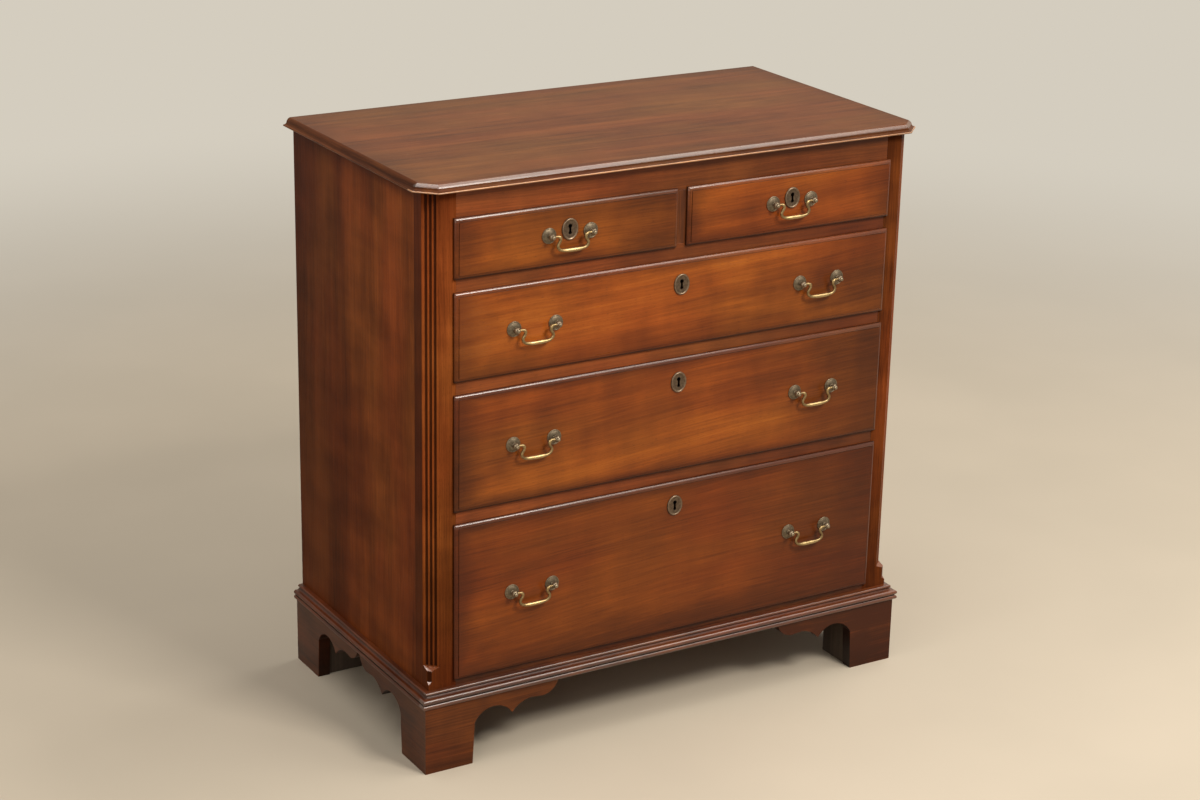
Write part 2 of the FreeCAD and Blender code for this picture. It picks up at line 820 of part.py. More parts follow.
def make_pull_mounts(drawer):
    """Rosettes, posts and nuts of all the pulls on one drawer."""
    under_z, body_top_z, side_top_z, pull_z = drawer_levels(drawer)
    solids = []
    for number, x in enumerate(post_centres(drawer)):
        inward = 1 if number % 2 == 0 else -1
        solids += [make_rosette(x, pull_z), make_post(x, pull_z, inward), make_nut(x, pull_z)]
    return solids


def on_circle(centre, radius, angle):
    """The point of a circle at an angle from its u direction."""
    return (centre[0] + radius * math.cos(angle), centre[1] + radius * math.sin(angle))


def bail_points():
    """Half of the bail's centre line in (u, v) from the middle of the pull, from a post to the bar."""
    lean = math.radians(bail_lean_degrees)
    curl_x = pull_spacing / 2 - bail_curl_inset
    curl_centre = (curl_x, -bail_curl_radius)
    curl_end = math.pi + lean
    curl_middle = (math.pi / 2 + curl_end) / 2
    curl_out = on_circle(curl_centre, bail_curl_radius, curl_end)
    corner_z = bail_corner_radius - bail_drop
    run_foot = corner_z + bail_corner_radius * math.sin(lean)
    run = (curl_out[1] - run_foot) / math.cos(lean)
    corner_in = (curl_out[0] + run * math.sin(lean), run_foot)
    corner_centre = (corner_in[0] - bail_corner_radius * math.cos(lean), corner_z)
    corner_middle = on_circle(corner_centre, bail_corner_radius, (lean - math.pi / 2) / 2)
    return [
        (bail_end_x, 0),
        (curl_x, 0),
        (on_circle(curl_centre, bail_curl_radius, curl_middle), curl_out),
        corner_in,
        (corner_middle, (corner_centre[0], -bail_drop)),
        (0, -bail_drop),
    ]


def make_bail(drawer, pull):
    """A swan-necked bail: a round rod along the centre line, with a swelling along its lower bar."""
    centre_x = drawer.centre_x + pull
    under_z, body_top_z, side_top_z, pull_z = drawer_levels(drawer)
    points = bail_points()
    right = outline_edges(points, lambda u, v: Vec(centre_x + u, pivot_y, pull_z + v))
    left = outline_edges(points, lambda u, v: Vec(centre_x - u, pivot_y, pull_z + v))
    path = Part.Wire(Part.sortEdges(right + left)[0])
    section = Part.Wire(Part.makeCircle(bail_radius, Vec(centre_x + bail_end_x, pivot_y, pull_z), X_AXIS))
    rod = path.makePipeShell([section], True, False)
    bar_half = points[-2][1][0]
    bar_z = pull_z - bail_drop
    end_radius = bail_radius * bail_bar_end_share
    swell_points = [
        (centre_x - bar_half, bar_z),
        (centre_x - bar_half, bar_z + end_radius),
        ((centre_x, bar_z + bail_bar_radius), (centre_x + bar_half, bar_z + end_radius)),
        (centre_x + bar_half, bar_z),
    ]
    half_section = outline_face(swell_points, in_xz(pivot_y))
    return rod.fuse(half_section.revolve(Vec(centre_x, pivot_y, bar_z), X_AXIS, 360))


def make_escutcheon(drawer):
    """An oval plate with a raised rim, pierced by the keyhole."""
    centre = Vec(drawer.centre_x, face_y, keyhole_z(drawer))
    total = escutcheon_thickness + escutcheon_rim_height
    plate = oval(centre, 0, total)
    field_base = centre - Y_AXIS * escutcheon_thickness
    field = oval(field_base, escutcheon_rim_width, escutcheon_rim_height + overrun)
    return plate.cut(field).cut(keyhole_cut(drawer))


def oval(base, inset, depth):
    """An upright oval block that stands forward from its base."""
    long_half = escutcheon_height / 2 - inset
    short_half = escutcheon_width / 2 - inset
    ellipse = Part.Ellipse(base + Z_AXIS * long_half, base + X_AXIS * short_half, base)
    return Part.Face(Part.Wire(ellipse.toShape())).extrude(-Y_AXIS * depth)


def make_lock_case(drawer):
    """The lock case, with the slot for its bolt and the start of the keyhole."""
    return lock_block(drawer).cut([bolt_block(drawer, bolt_clearance), keyhole_cut(drawer)])


def write_drawer(drawer):
    """All the nodes of one drawer."""
    box_solids, tails = make_drawer_box(drawer)
    write(drawer.name + "_front", [make_drawer_front(drawer, tails)])
    write(drawer.name + "_box", box_solids)
    write(drawer.name + "_pull_mounts", make_pull_mounts(drawer))
    write(drawer.name + "_escutcheon", [make_escutcheon(drawer)])
    write(drawer.name + "_lock_case", [make_lock_case(drawer)])
    write(drawer.name + "_lock_bolt", [bolt_block(drawer, 0)])
    for pull in drawer.pulls:
        hand = "" if pull == 0 else ("left_" if pull < 0 else "right_")
        write(drawer.name + "_" + hand + "bail", [make_bail(drawer, pull)])


def write_case():
    """All the nodes of the case."""
    top_holes = top_screws(screw_clearance)
    back_holes = back_screws(screw_clearance)
    back_panel = make_back_panel()
    post = make_right_post()
    side = make_right_side(back_panel).cut(back_holes)
    front_foot = make_right_front_foot()
    back_foot = make_right_back_foot()
    mortises = [bolt_mortise(drawer) for drawer in DRAWERS]
    write("top_board", [make_top_board(top_holes)])
    write("right_side_panel", [side])
    write("left_side_panel", [mirrored(side)])
    write("right_corner_post", [post])
    write("left_corner_post", [mirrored(post)])
    write("top_rail", [rail(case_top_z - top_rail_height, top_rail_height).cut(mortises)])
    rail_tops = (middle_z, upper_z, small_z)
    drawer_rails = [rail(z - drawer_rail_height, drawer_rail_height) for z in rail_tops]
    write("drawer_rails", [board.cut(mortises) for board in drawer_rails])
    write("bottom_rail", [rail(foot_height, bottom_rail_height)])
    stile_low = (-half_stile, front_y, small_z)
    write("centre_stile", [box(stile_low, (half_stile, rail_back_y, case_top_z - top_rail_height))])
    write("drawer_runners", make_runners())
    write("drawer_guides", make_guides())
    write("top_cleats", make_cleats(top_holes))
    write("bottom_board", [make_bottom_board()])
    write("back_panel", [back_panel.cut(back_holes)])
    write("base_moulding", make_base_mouldings())
    write("front_right_foot", front_foot)
    write("front_left_foot", [mirrored(board) for board in front_foot])
    write("back_right_foot", back_foot)
    write("back_left_foot", [mirrored(board) for board in back_foot])
    write("glue_blocks", make_glue_blocks())
    write("top_screws", top_screws(0))
    write("back_screws", back_screws(0))


def main():
    os.makedirs("parts", exist_ok=True)
    write_case()
    for drawer in DRAWERS:
        write_drawer(drawer)
    width = case_width + 2 * top_side_overhang
    print("overall", width, overall_depth, overall_height)


main()
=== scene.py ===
# %% [markdown]
# # Dressing a chest of drawers
# The chest is a reddish brown case with two small drawers over three long ones. Its solids come
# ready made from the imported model, in metres and in their final place. This lesson keeps the
# solids of the joinery, rounds their edges a little, gives every piece a procedural finish, and
# works out the brass fittings again as finer surfaces with numpy.

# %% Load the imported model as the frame
import json
import math
import bpy
import numpy as np
from mathutils import Matrix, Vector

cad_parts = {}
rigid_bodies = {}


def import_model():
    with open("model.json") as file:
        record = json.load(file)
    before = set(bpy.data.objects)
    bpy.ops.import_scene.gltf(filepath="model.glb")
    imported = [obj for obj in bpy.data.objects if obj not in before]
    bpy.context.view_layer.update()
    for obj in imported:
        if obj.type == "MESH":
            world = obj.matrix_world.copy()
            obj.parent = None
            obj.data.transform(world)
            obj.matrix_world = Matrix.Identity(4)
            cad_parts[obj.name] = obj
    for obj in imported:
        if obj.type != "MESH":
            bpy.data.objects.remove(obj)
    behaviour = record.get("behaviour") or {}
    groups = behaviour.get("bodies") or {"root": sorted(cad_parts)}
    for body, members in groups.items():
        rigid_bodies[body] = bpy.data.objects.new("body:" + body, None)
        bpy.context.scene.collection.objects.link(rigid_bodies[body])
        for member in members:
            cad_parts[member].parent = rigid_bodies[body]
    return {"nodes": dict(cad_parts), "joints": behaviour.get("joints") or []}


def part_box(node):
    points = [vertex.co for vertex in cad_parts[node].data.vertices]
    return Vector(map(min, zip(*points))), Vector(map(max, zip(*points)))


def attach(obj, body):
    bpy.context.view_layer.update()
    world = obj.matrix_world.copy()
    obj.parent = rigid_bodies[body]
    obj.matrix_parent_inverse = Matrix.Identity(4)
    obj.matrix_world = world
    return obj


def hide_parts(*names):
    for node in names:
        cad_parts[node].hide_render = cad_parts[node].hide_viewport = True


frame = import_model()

scene = bpy.context.scene
nodes = frame["nodes"]
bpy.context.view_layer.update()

# %% [markdown]
# ## Camera
# The chest was seen from above its left front corner, through a fairly long lens. The camera's
# place and its three turns were solved from the straight edges of the chest, so the rendered
# edges fall where the real ones do. The matrix is put together from the three view directions
# instead of Euler angles, because the slight roll is then easy to follow.

# %% Camera
camera_place = (-2.19073, -3.63540, 2.01801)
yaw, pitch, roll = np.radians((31.015, -19.645, 1.206))
upward = np.array((0.0, 0.0, 1.0))
level_right = np.array((np.cos(yaw), -np.sin(yaw), 0.0))
level_ahead = np.array((np.sin(yaw), np.cos(yaw), 0.0))
ahead = level_ahead * np.cos(pitch) + upward * np.sin(pitch)
level_up = -level_ahead * np.sin(pitch) + upward * np.cos(pitch)
view_right = level_right * np.cos(roll) + level_up * np.sin(roll)
view_up = -level_right * np.sin(roll) + level_up * np.cos(roll)

lens = bpy.data.cameras.new("camera")
lens.sensor_fit = "HORIZONTAL"
lens.sensor_width = 36.0
lens.lens = 76.85
lens.clip_end = 200.0
camera = bpy.data.objects.new("camera", lens)
turn = Matrix(np.column_stack((view_right, view_up, -ahead)).tolist())
camera.matrix_world = Matrix.Translation(camera_place) @ turn.to_4x4()
scene.collection.objects.link(camera)
scene.camera = camera
scene.view_settings.view_transform = "Standard"
print("camera looks along", np.round(ahead, 3))

# %% [markdown]
# ## A few helpers for nodes
# A finish is a small network of shader nodes. Written out by hand each node takes several lines,
# so these helpers place a node in the tree of the sockets that feed it, set or link its own sockets
# and hand back what it puts out. An effect that several finishes share becomes a node group with
# named sockets.


# %% Helpers for shader nodes
def connect(node, sockets):
    """Fills a node's sockets, by name or number: another node's output is linked, a value is set."""
    for key, value in sockets.items():
        if isinstance(value, bpy.types.NodeSocket):
            node.id_data.links.new(value, node.inputs[key])
        else:
            node.inputs[key].default_value = value


def place(tree, kind, sockets=(), **settings):
    """Adds one node with its settings, then fills its sockets, by name or in order."""
    node = tree.nodes.new(kind)
    for key, value in settings.items():
        setattr(node, key, value)
    connect(node, sockets if isinstance(sockets, dict) else dict(enumerate(sockets)))
    return node


def tree_of(*values):
    """The node tree of the first socket among some values."""
    return next(value.id_data for value in values if isinstance(value, bpy.types.NodeSocket))


def sums(operation, *values, **settings):
    """One step of arithmetic on values."""
    return place(tree_of(*values), "ShaderNodeMath", values, operation=operation, **settings).outputs[0]


def vectors(operation, *values):
    """One step of arithmetic on vectors."""
    return place(tree_of(*values), "ShaderNodeVectorMath", values, operation=operation).outputs[0]


def split(vector):
    """The x, y and z of a vector."""
    return place(vector.id_data, "ShaderNodeSeparateXYZ", (vector,)).outputs


def combine(*values):
    """A vector from its x, y and z."""
    return place(tree_of(*values), "ShaderNodeCombineXYZ", values).outputs[0]


def length(vector):
    """The length of a vector."""
    return place(vector.id_data, "ShaderNodeVectorMath", (vector,), operation="LENGTH").outputs["Value"]


def blend(share, one, other, kind="MIX"):
    """Blends two colours by a share from 0 to 1."""
    tree, sockets = tree_of(share, one, other), {0: share, 6: one, 7: other}
    return place(tree, "ShaderNodeMix", sockets, data_type="RGBA", blend_type=kind).outputs[2]


def tinted(colour, tint):
    """A colour times a tint."""
    return blend(1.0, colour, tint, "MULTIPLY")


def spread(value, low, high, to_low, to_high, kind="SMOOTHSTEP"):
    """Maps a value from one range to another, held at both ends."""
    sockets = {"Value": value, "From Min": low, "From Max": high, "To Min": to_low, "To Max": to_high}
    return place(value.id_data, "ShaderNodeMapRange", sockets, interpolation_type=kind).outputs[0]


def cloud(vector, scale, detail=2.0, roughness=0.5):
    """Soft noise about 0.5. A scale of three numbers stretches it, as wood fibre is stretched."""
    stretched = vectors("MULTIPLY", vector, scale) if isinstance(scale, tuple) else vector
    size = 1.0 if isinstance(scale, tuple) else scale
    sockets = {"Vector": stretched, "Scale": size, "Detail": detail, "Roughness": roughness}
    return place(vector.id_data, "ShaderNodeTexNoise", sockets).outputs


def raised(height, strength, distance):
    """A normal that follows a height."""
    sockets = {"Strength": strength, "Distance": distance, "Height": height}
    return place(height.id_data, "ShaderNodeBump", sockets).outputs[0]


def ramp(value, stops):
    """A colour ramp with (place, colour) stops."""
    node = place(value.id_data, "ShaderNodeValToRGB", (value,))
    band = node.color_ramp
    while len(band.elements) < len(stops):
        band.elements.new(0.5)
    for element, (where, colour) in zip(band.elements, stops):
        element.position = where
        element.color = (*colour, 1.0)
    return node.outputs[0]


def new_group(name, inputs, outputs):
    """A node group: returns its tree, the sockets it is given and the sockets it fills."""
    tree = bpy.data.node_groups.new(name, "ShaderNodeTree")
    for socket, kind, value in inputs:
        made = tree.interface.new_socket(socket, in_out="INPUT", socket_type="NodeSocket" + kind)
        made.default_value = value
    for socket, kind in outputs:
        tree.interface.new_socket(socket, in_out="OUTPUT", socket_type="NodeSocket" + kind)
    return tree, tree.nodes.new("NodeGroupInput").outputs, tree.nodes.new("NodeGroupOutput").inputs


def use_group(group, sockets):
    """Places a node group beside the nodes that feed it, and returns its outputs."""
    return place(tree_of(*sockets.values()), "ShaderNodeGroup", sockets, node_tree=group).outputs


def new_finish(name):
    """A new material: returns it, its shader node and the coordinates of the point to be shaded."""
    material = bpy.data.materials.new(name)
    material.use_nodes = True
    tree = material.node_tree
    where = place(tree, "ShaderNodeTexCoord").outputs["Object"]
    return material, tree.nodes["Principled BSDF"], where


print("helpers ready")

# %% [markdown]
# ## Floor
# The chest stands on a plain pale floor: a flat disc that fades far away into the colour of the
# backdrop, so that no horizon shows. Looked at straight or in a reflection the floor is pale. The
# light that it throws back up comes from a darker colour, so that the feet and the lower drawer
# stay as dim as they are on the real chest. Light Path tells the two kinds of ray apart.

# %% Floor
floor_radius = 60.0
floor_rings = np.geomspace(0.5, floor_radius, 24)


def full_turn(count):
    """Evenly spaced angles once around."""
    return np.linspace(0.0, 2.0 * np.pi, count, endpoint=False)


def disc_mesh(name, rings, turns):
    """A flat disc: radius by turn gives x = r cos a, y = r sin a, with one point at the middle."""
    r, a = np.meshgrid(rings, turns, indexing="ij")
    points = np.stack((r * np.cos(a), r * np.sin(a), np.zeros_like(r)), axis=-1).reshape(-1, 3)
    points = np.vstack(((0.0, 0.0, 0.0), points))
    count = len(turns)
    ring, step = np.meshgrid(np.arange(len(rings) - 1), np.arange(count), indexing="ij")
    here = 1 + ring * count + step
    beside = 1 + ring * count + (step + 1) % count
    quads = np.stack((here, here + count, beside + count, beside), axis=-1).reshape(-1, 4)
    first = np.arange(count)
    middle = np.stack((np.zeros(count, int), 1 + first, 1 + (first + 1) % count), axis=-1)
    mesh = bpy.data.meshes.new(name)
    mesh.from_pydata(points.tolist(), [], quads.tolist() + middle.tolist())
    return mesh


floor = bpy.data.objects.new("floor", disc_mesh("floor", floor_rings, full_turn(96)))
scene.collection.objects.link(floor)
backdrop_colour = (0.66, 0.61, 0.52, 1.0)
bounce_colour = (0.28, 0.19, 0.11, 1.0)
floor_colours = ((0.51, 0.445, 0.355, 1.0), (0.54, 0.47, 0.375, 1.0))
near_edge, far_edge = 1.4, 4.2


def seen_rays(tree):
    """1 for rays that show a surface: straight from the camera, mirrored, or through glass."""
    rays = place(tree, "ShaderNodeLightPath").outputs
    seen = sums("MAXIMUM", rays["Is Camera Ray"], rays["Is Glossy Ray"])
    return sums("MAXIMUM", seen, rays["Is Transmission Ray"])


floor_finish, shader, where = new_finish("pale_floor")
tree = floor_finish.node_tree
tint = spread(cloud(where, 1.7, 3.0)["Fac"], 0.3, 0.7, 0.0, 1.0)
colour = blend(tint, *floor_colours)
seen = seen_rays(tree)
colour = blend(seen, bounce_colour, colour)
connect(shader, {"Base Color": colour, "Roughness": 0.75, "Specular IOR Level": 0.2})
away = spread(length(where), near_edge, far_edge, 0.0, 1.0)
fade = sums("MULTIPLY", away, seen)
haze = place(tree, "ShaderNodeEmission", (backdrop_colour, 1.0)).outputs[0]
faded = place(tree, "ShaderNodeMixShader", (fade, shader.outputs[0], haze)).outputs[0]
connect(tree.nodes["Material Output"], {"Surface": faded})
floor.data.materials.append(floor_finish)
print("floor of", len(floor.data.polygons), "faces")

# %% [markdown]
# ## World and lamps
# The main light is a high lamp a little to the right of the front, and it casts the shadows under
# the top, under the lips of the drawers and behind the handles. Two wide lamps higher up lie along
# the front to the right: a rounded edge mirrors them as a pale line over its whole length. A strip
# and a weak lamp at the left take care of the side and of the corner. The world fills the shade.
# Seen straight or mirrored it has the colour of a pale backdrop, whatever light it gives.

# %% World and lamps
fill_colour = (0.98, 0.96, 0.92, 1.0)
fill_strength = 0.18
world = bpy.data.worlds.new("soft_room")
scene.world = world
world.use_nodes = True
tree = world.node_tree
tree.nodes.clear()
fill = place(tree, "ShaderNodeBackground", (fill_colour, fill_strength)).outputs[0]
backdrop = place(tree, "ShaderNodeBackground", (backdrop_colour, 1.0)).outputs[0]
mixed = place(tree, "ShaderNodeMixShader", (seen_rays(tree), fill, backdrop)).outputs[0]
place(tree, "ShaderNodeOutputWorld", (mixed,))


def soft_lamp(name, spot, aim, width, height, power, colour):
    """A rectangular lamp at a spot, turned to face the aim point."""
    data = bpy.data.lights.new(name, "AREA")
    data.shape = "RECTANGLE"
    data.size, data.size_y = width, height
    data.energy = power
    data.color = colour
    lamp = bpy.data.objects.new(name, data)
    towards = np.array(spot) - np.array(aim)
    towards = towards / np.linalg.norm(towards)
    across = np.cross(upward, towards)
    across = across / np.linalg.norm(across)
    turn = Matrix(np.column_stack((across, np.cross(towards, across), towards)).tolist())
    lamp.matrix_world = Matrix.Translation(spot) @ turn.to_4x4()
    lamp.visible_camera = False
    scene.collection.objects.link(lamp)


warm, paler, warmer = (1.0, 0.95, 0.87), (1.0, 0.96, 0.90), (1.0, 0.94, 0.85)
soft_lamp("key_lamp", (0.82, -3.08, 3.52), (0.0, -0.24, 0.55), 1.1, 1.1, 128.0, warm)
soft_lamp("upper_lamp", (1.92, -1.70, 3.75), (1.92, -0.24, 0.75), 1.9, 2.2, 70.0, warm)
soft_lamp("overhead_lamp", (2.5, 0.26, 5.1), (2.5, 0.0, 0.9), 1.9, 2.4, 90.0, paler)
soft_lamp("left_strip", (-1.32, 0.08, 3.2), (-0.62, 0.78, 1.0), 0.55, 2.9, 40.0, paler)
soft_lamp("left_lamp", (-2.6, -2.3, 1.9), (-0.3, -0.2, 0.6), 1.6, 1.6, 23.0, warmer)

# %% [markdown]
# ## The figure of the wood
# The chest looks like mahogany: long soft ribbons, finer streaks that wander a little, short dark
# pores along the grain, a faint mottle across it and soft patches that glow warmer. All of that is
# noise stretched along the grain, in metres, so one node group serves every board. The group takes
# a vector whose x runs along the grain, and gives a tone, a glow, a pore mask and a bump height.

# %% Wood figure group
wood_figure, given, filled = new_group(
    "wood_figure",
    (("Vector", "Vector", (0, 0, 0)), ("Wander", "Float", 0.05), ("Ribbon", "Float", 0.4),
     ("Streak", "Float", 0.4), ("Mottle", "Float", 0.2)),
    (("Tone", "Float"), ("Glow", "Float"), ("Pores", "Float"), ("Height", "Float")))
tree = wood_figure
drift = cloud(given["Vector"], (1.3, 4.5, 4.5), 1.0)["Color"]
drift = vectors("SUBTRACT", drift, (0.5, 0.5, 0.5))
sockets = {0: drift, "Scale": given["Wander"]}
drift = place(tree, "ShaderNodeVectorMath", sockets, operation="SCALE").outputs[0]
wandering = vectors("ADD", given["Vector"], drift)
ribbon = sums("SUBTRACT", cloud(wandering, (0.9, 12.0, 12.0), 2.0)["Fac"], 0.5)
streak = sums("SUBTRACT", cloud(wandering, (2.4, 60.0, 60.0), 4.0, 0.6)["Fac"], 0.5)
fibre = sums("SUBTRACT", cloud(wandering, (9.0, 420.0, 420.0), 2.0)["Fac"], 0.5)
mottle = sums("SUBTRACT", cloud(given["Vector"], (16.0, 9.0, 9.0), 2.0)["Fac"], 0.5)
tone = sums("MULTIPLY_ADD", ribbon, given["Ribbon"], 0.5)
tone = sums("MULTIPLY_ADD", streak, given["Streak"], tone)
tone = sums("MULTIPLY_ADD", mottle, given["Mottle"], tone)
tone = sums("MULTIPLY_ADD", fibre, 0.30, tone, use_clamp=True)
pore_noise = cloud(given["Vector"], (110.0, 1500.0, 1500.0), 1.0)["Fac"]
pores = spread(pore_noise, 0.60, 0.72, 0.0, 1.0)
height = sums("MULTIPLY_ADD", pores, -0.8, sums("MULTIPLY_ADD", fibre, 0.5, 0.5))
glow = spread(cloud(wandering, (3.0, 8.0, 8.0), 3.0)["Fac"], 0.32, 0.68, 0.0, 1.0)
for socket, value in (("Tone", tone), ("Glow", glow), ("Pores", pores), ("Height", height)):
    tree.links.new(value, filled[socket])
print("wood figure group with", len(tree.nodes), "nodes")

# %% [markdown]
# ## Shaded edges
# A drawer front is darker at its ends and along its lower edge, as a rubbed finish leaves it. The
# long darkening at the right ends of the fronts and rails is painted shade, for light that falls off
# towards the right. The group below measures how far a point lies from the sides, the top and the
# bottom of a panel, given as the panel's low and high corners, and turns that into a soft mask. A
# panel can also have canted corners. Without the raggedness the same mask marks a moulded rim.

# %% Edge shade group
edge_sides = ("Left Reach", "Right Reach", "Top Reach", "Bottom Reach")
edge_shade, given, filled = new_group(
    "edge_shade",
    (("Vector", "Vector", (0, 0, 0)), ("Low", "Vector", (0, 0, 0)), ("High", "Vector", (1, 1, 1)),
     *((side, "Float", 0.05) for side in edge_sides),
     ("Ragged", "Float", 0.9), ("Cant Leg", "Float", -1.0)),
    (("Edge", "Float"),))
tree = edge_shade
ragged = cloud(given["Vector"], (5.0, 5.0, 14.0), 3.0)["Fac"]
ragged = sums("SUBTRACT", spread(ragged, 0.25, 0.75, 0.0, 1.0, "LINEAR"), 0.5)
ragged = sums("MULTIPLY_ADD", ragged, given["Ragged"], 1.0)
from_low = split(vectors("SUBTRACT", given["Vector"], given["Low"]))
from_high = split(vectors("SUBTRACT", given["High"], given["Vector"]))
from_end = sums("MINIMUM", from_low["X"], from_high["X"])
beyond = sums("SUBTRACT", sums("ADD", from_end, from_low["Z"]), given["Cant Leg"])
nearest = sums("DIVIDE", sums("MULTIPLY", beyond, math.sqrt(0.5)), given["Bottom Reach"])
distances = (from_low["X"], from_high["X"], from_high["Z"], from_low["Z"])
for side, distance in zip(edge_sides, distances):
    nearest = sums("MINIMUM", nearest, sums("DIVIDE", distance, given[side]))
tree.links.new(spread(sums("MULTIPLY", nearest, ragged), 0.0, 1.0, 1.0, 0.0), filled["Edge"])
print("edge shade group with", len(tree.nodes), "nodes")

# %% [markdown]
# ## Boards that meet in a mitre
# The base moulding, the feet and the drawer boxes are boards that turn a corner, and each board's
# grain follows its own length. Which board a point belongs to can be told from its distance to the
# front or back and to the side: whichever is nearer. This group swaps x and y on the side boards,
# so the grain turns the corner at the mitre. A margin says how thick the side boards can be.

# %% Mitred boards group
mitred_boards, given, filled = new_group(
    "mitred_boards",
    (("Vector", "Vector", (0, 0, 0)), ("Middle", "Vector", (0, 0, 0)), ("Half", "Vector", (1, 1, 1)),
     ("Margin", "Float", 1.0)),
    (("Vector", "Vector"),))
tree = mitred_boards
inward = vectors("ABSOLUTE", vectors("SUBTRACT", given["Vector"], given["Middle"]))
inward = split(vectors("SUBTRACT", given["Half"], inward))
along_side = sums("LESS_THAN", inward["X"], sums("MINIMUM", inward["Y"], given["Margin"]))
own = split(given["Vector"])
swapped = vectors("ADD", combine(own["Y"], own["X"], own["Z"]), (3.0, 2.0, 1.0))
sockets = {0: along_side, 4: given["Vector"], 5: swapped}
chosen = place(tree, "ShaderNodeMix", sockets, data_type="VECTOR").outputs[1]
tree.links.new(chosen, filled["Vector"])
print("mitred boards group with", len(tree.nodes), "nodes")

# %% [markdown]
# ## Marks of use
# The top has a few dark streaks that run far along the grain, and here and there a small dent that
# has filled with dark wax. The streaks are stretched noise cut off high up. The dents are cells of
# a Voronoi pattern: a cell in twenty gets a spot at its middle.

# %% Marks of use group
wear_marks, given, filled = new_group(
    "wear_marks", (("Vector", "Vector", (0, 0, 0)), ("Depth", "Float", 1.0)), (("Marks", "Float"),))
tree = wear_marks
long_streak = cloud(given["Vector"], (0.8, 45.0, 45.0), 3.0)["Fac"]
long_streak = spread(long_streak, 0.60, 0.72, 0.0, 0.45)
cells = place(tree, "ShaderNodeTexVoronoi", {"Vector": given["Vector"], "Scale": 26.0}).outputs
draw = place(tree, "ShaderNodeSeparateColor", (cells["Color"],)).outputs[0]
chosen = sums("LESS_THAN", draw, 0.05)
dent = sums("MULTIPLY", spread(cells["Distance"], 0.02, 0.06, 0.8, 0.0), chosen)
marks = sums("MULTIPLY", sums("MAXIMUM", long_streak, dent), given["Depth"])
tree.links.new(marks, filled["Marks"])
print("marks of use group with", len(tree.nodes), "nodes")

# %% [markdown]
# ## Stain
# The stained wood runs from a deep red brown to a warm orange brown. Its patches are ruddier or
# more golden, and its pores are nearly black. The case, the drawers and the top took the stain a
# little differently, so each gets a group of its own that turns the figure into a colour. A ramp
# between four colours does it, because each of them can be changed without touching the others.

# %% Stain groups
ramp_places = (0.15, 0.40, 0.60, 0.85)
ruddy_tint, golden_tint = (0.97, 0.88, 0.92, 1.0), (1.03, 1.17, 1.10, 1.0)
pore_colour, pore_depth = (0.035, 0.010, 0.005, 1.0), 0.45


def stain(name, palette):
    """A group that turns tone, glow and pores into the colour of stained wood."""
    inputs = (("Tone", "Float", 0.5), ("Glow", "Float", 0.5), ("Pores", "Float", 0.0))
    tree, given, filled = new_group(name, inputs, (("Color", "Color"),))
    colour = ramp(given["Tone"], tuple(zip(ramp_places, palette)))
    ruddy, golden = tinted(colour, ruddy_tint), tinted(colour, golden_tint)
    colour = blend(given["Glow"], ruddy, golden)
    colour = blend(sums("MULTIPLY", given["Pores"], pore_depth), colour, pore_colour)
    tree.links.new(colour, filled["Color"])
    return tree


drawer_palette = ((0.060, 0.0140, 0.0036), (0.200, 0.0460, 0.0068),
                  (0.345, 0.0840, 0.0105), (0.500, 0.1430, 0.0210))
lower_palette = tuple((red, green * 0.92, blue * 0.86) for red, green, blue in drawer_palette)
drawer_stain = stain("drawer_stain", drawer_palette)
lower_stain = stain("lower_drawer_stain", lower_palette)
case_stain = stain("case_stain", ((0.060, 0.0150, 0.0055), (0.200, 0.0490, 0.0112),
                                  (0.345, 0.0880, 0.0195), (0.500, 0.1440, 0.0330)))
top_stain = stain("top_stain", ((0.064, 0.0190, 0.0060), (0.205, 0.0620, 0.0140),
                                (0.345, 0.1080, 0.0220), (0.500, 0.1700, 0.0400)))
print("stain groups with", len(case_stain.nodes), "nodes each")

# %% [markdown]
# ## Dark hollows
# Grooves and inner corners are painted darker: partly wax and dust that gather there, partly
# painted shade where less light reaches. Ambient occlusion tells how closed in a point is by its own
# piece, so one group can darken any colour where the surface is hollow, without a mask for each
# groove.

# %% Dark hollows group
hollow_wax_and_shade_tint, hollow_reach = (0.22, 0.20, 0.24, 1.0), 0.006
hollow_wax_and_shade, given, filled = new_group(
    "hollow_wax_and_shade", (("Color", "Color", (1.0, 1.0, 1.0, 1.0)),), (("Color", "Color"),))
tree = hollow_wax_and_shade
sockets = {"Distance": hollow_reach}
clear = place(tree, "ShaderNodeAmbientOcclusion", sockets, samples=8, only_local=True).outputs["AO"]
closed_in = spread(clear, 0.45, 0.92, 0.9, 0.0)
darkened = tinted(given["Color"], hollow_wax_and_shade_tint)
tree.links.new(blend(closed_in, given["Color"], darkened), filled["Color"])
print("dark hollows group with", len(tree.nodes), "nodes")

# %% [markdown]
# ## Masks for a board
# Some boards have places with a look of their own. On a canted corner the grooves of the flutes and
# the tongue below them are darkened, partly by wax and partly as painted shade; the cant is painted
# lighter, painted light for a face turned away from the main lamp; and the ledge below the flutes is
# polished. A moulded rim is polished, but not in its hollow. The faces inside the outer faces of a
# foot are darkened. Each helper here finds such a place from the point's own coordinates and gives a
# mask from 0 to 1.

# %% Masks for a board
face_axes = {"front": (0, 1, 2), "top": (0, 2, 1), "side": (1, 0, 2)}
tongue_span, keyhole_shadow_half = (0.1605, 0.1795), (0.007, 1e3, 0.012)


def in_band(value, band):
    """1 where a value lies between the two ends of a band."""
    return sums("COMPARE", value, sum(band) / 2, (band[1] - band[0]) / 2)


def edge_mask(own, panel, face, reach, more):
    """How near a point lies to the edges of a panel, by the reach of each of its four sides."""
    axes = face_axes[face]
    across = combine(*(own[axis] for axis in axes))
    low, high = ([corner[axis] for axis in axes] for corner in panel)
    sockets = {"Vector": across, "Low": low, "High": high, **dict(zip(edge_sides, reach)), **more}
    return use_group(edge_shade, sockets)["Edge"]


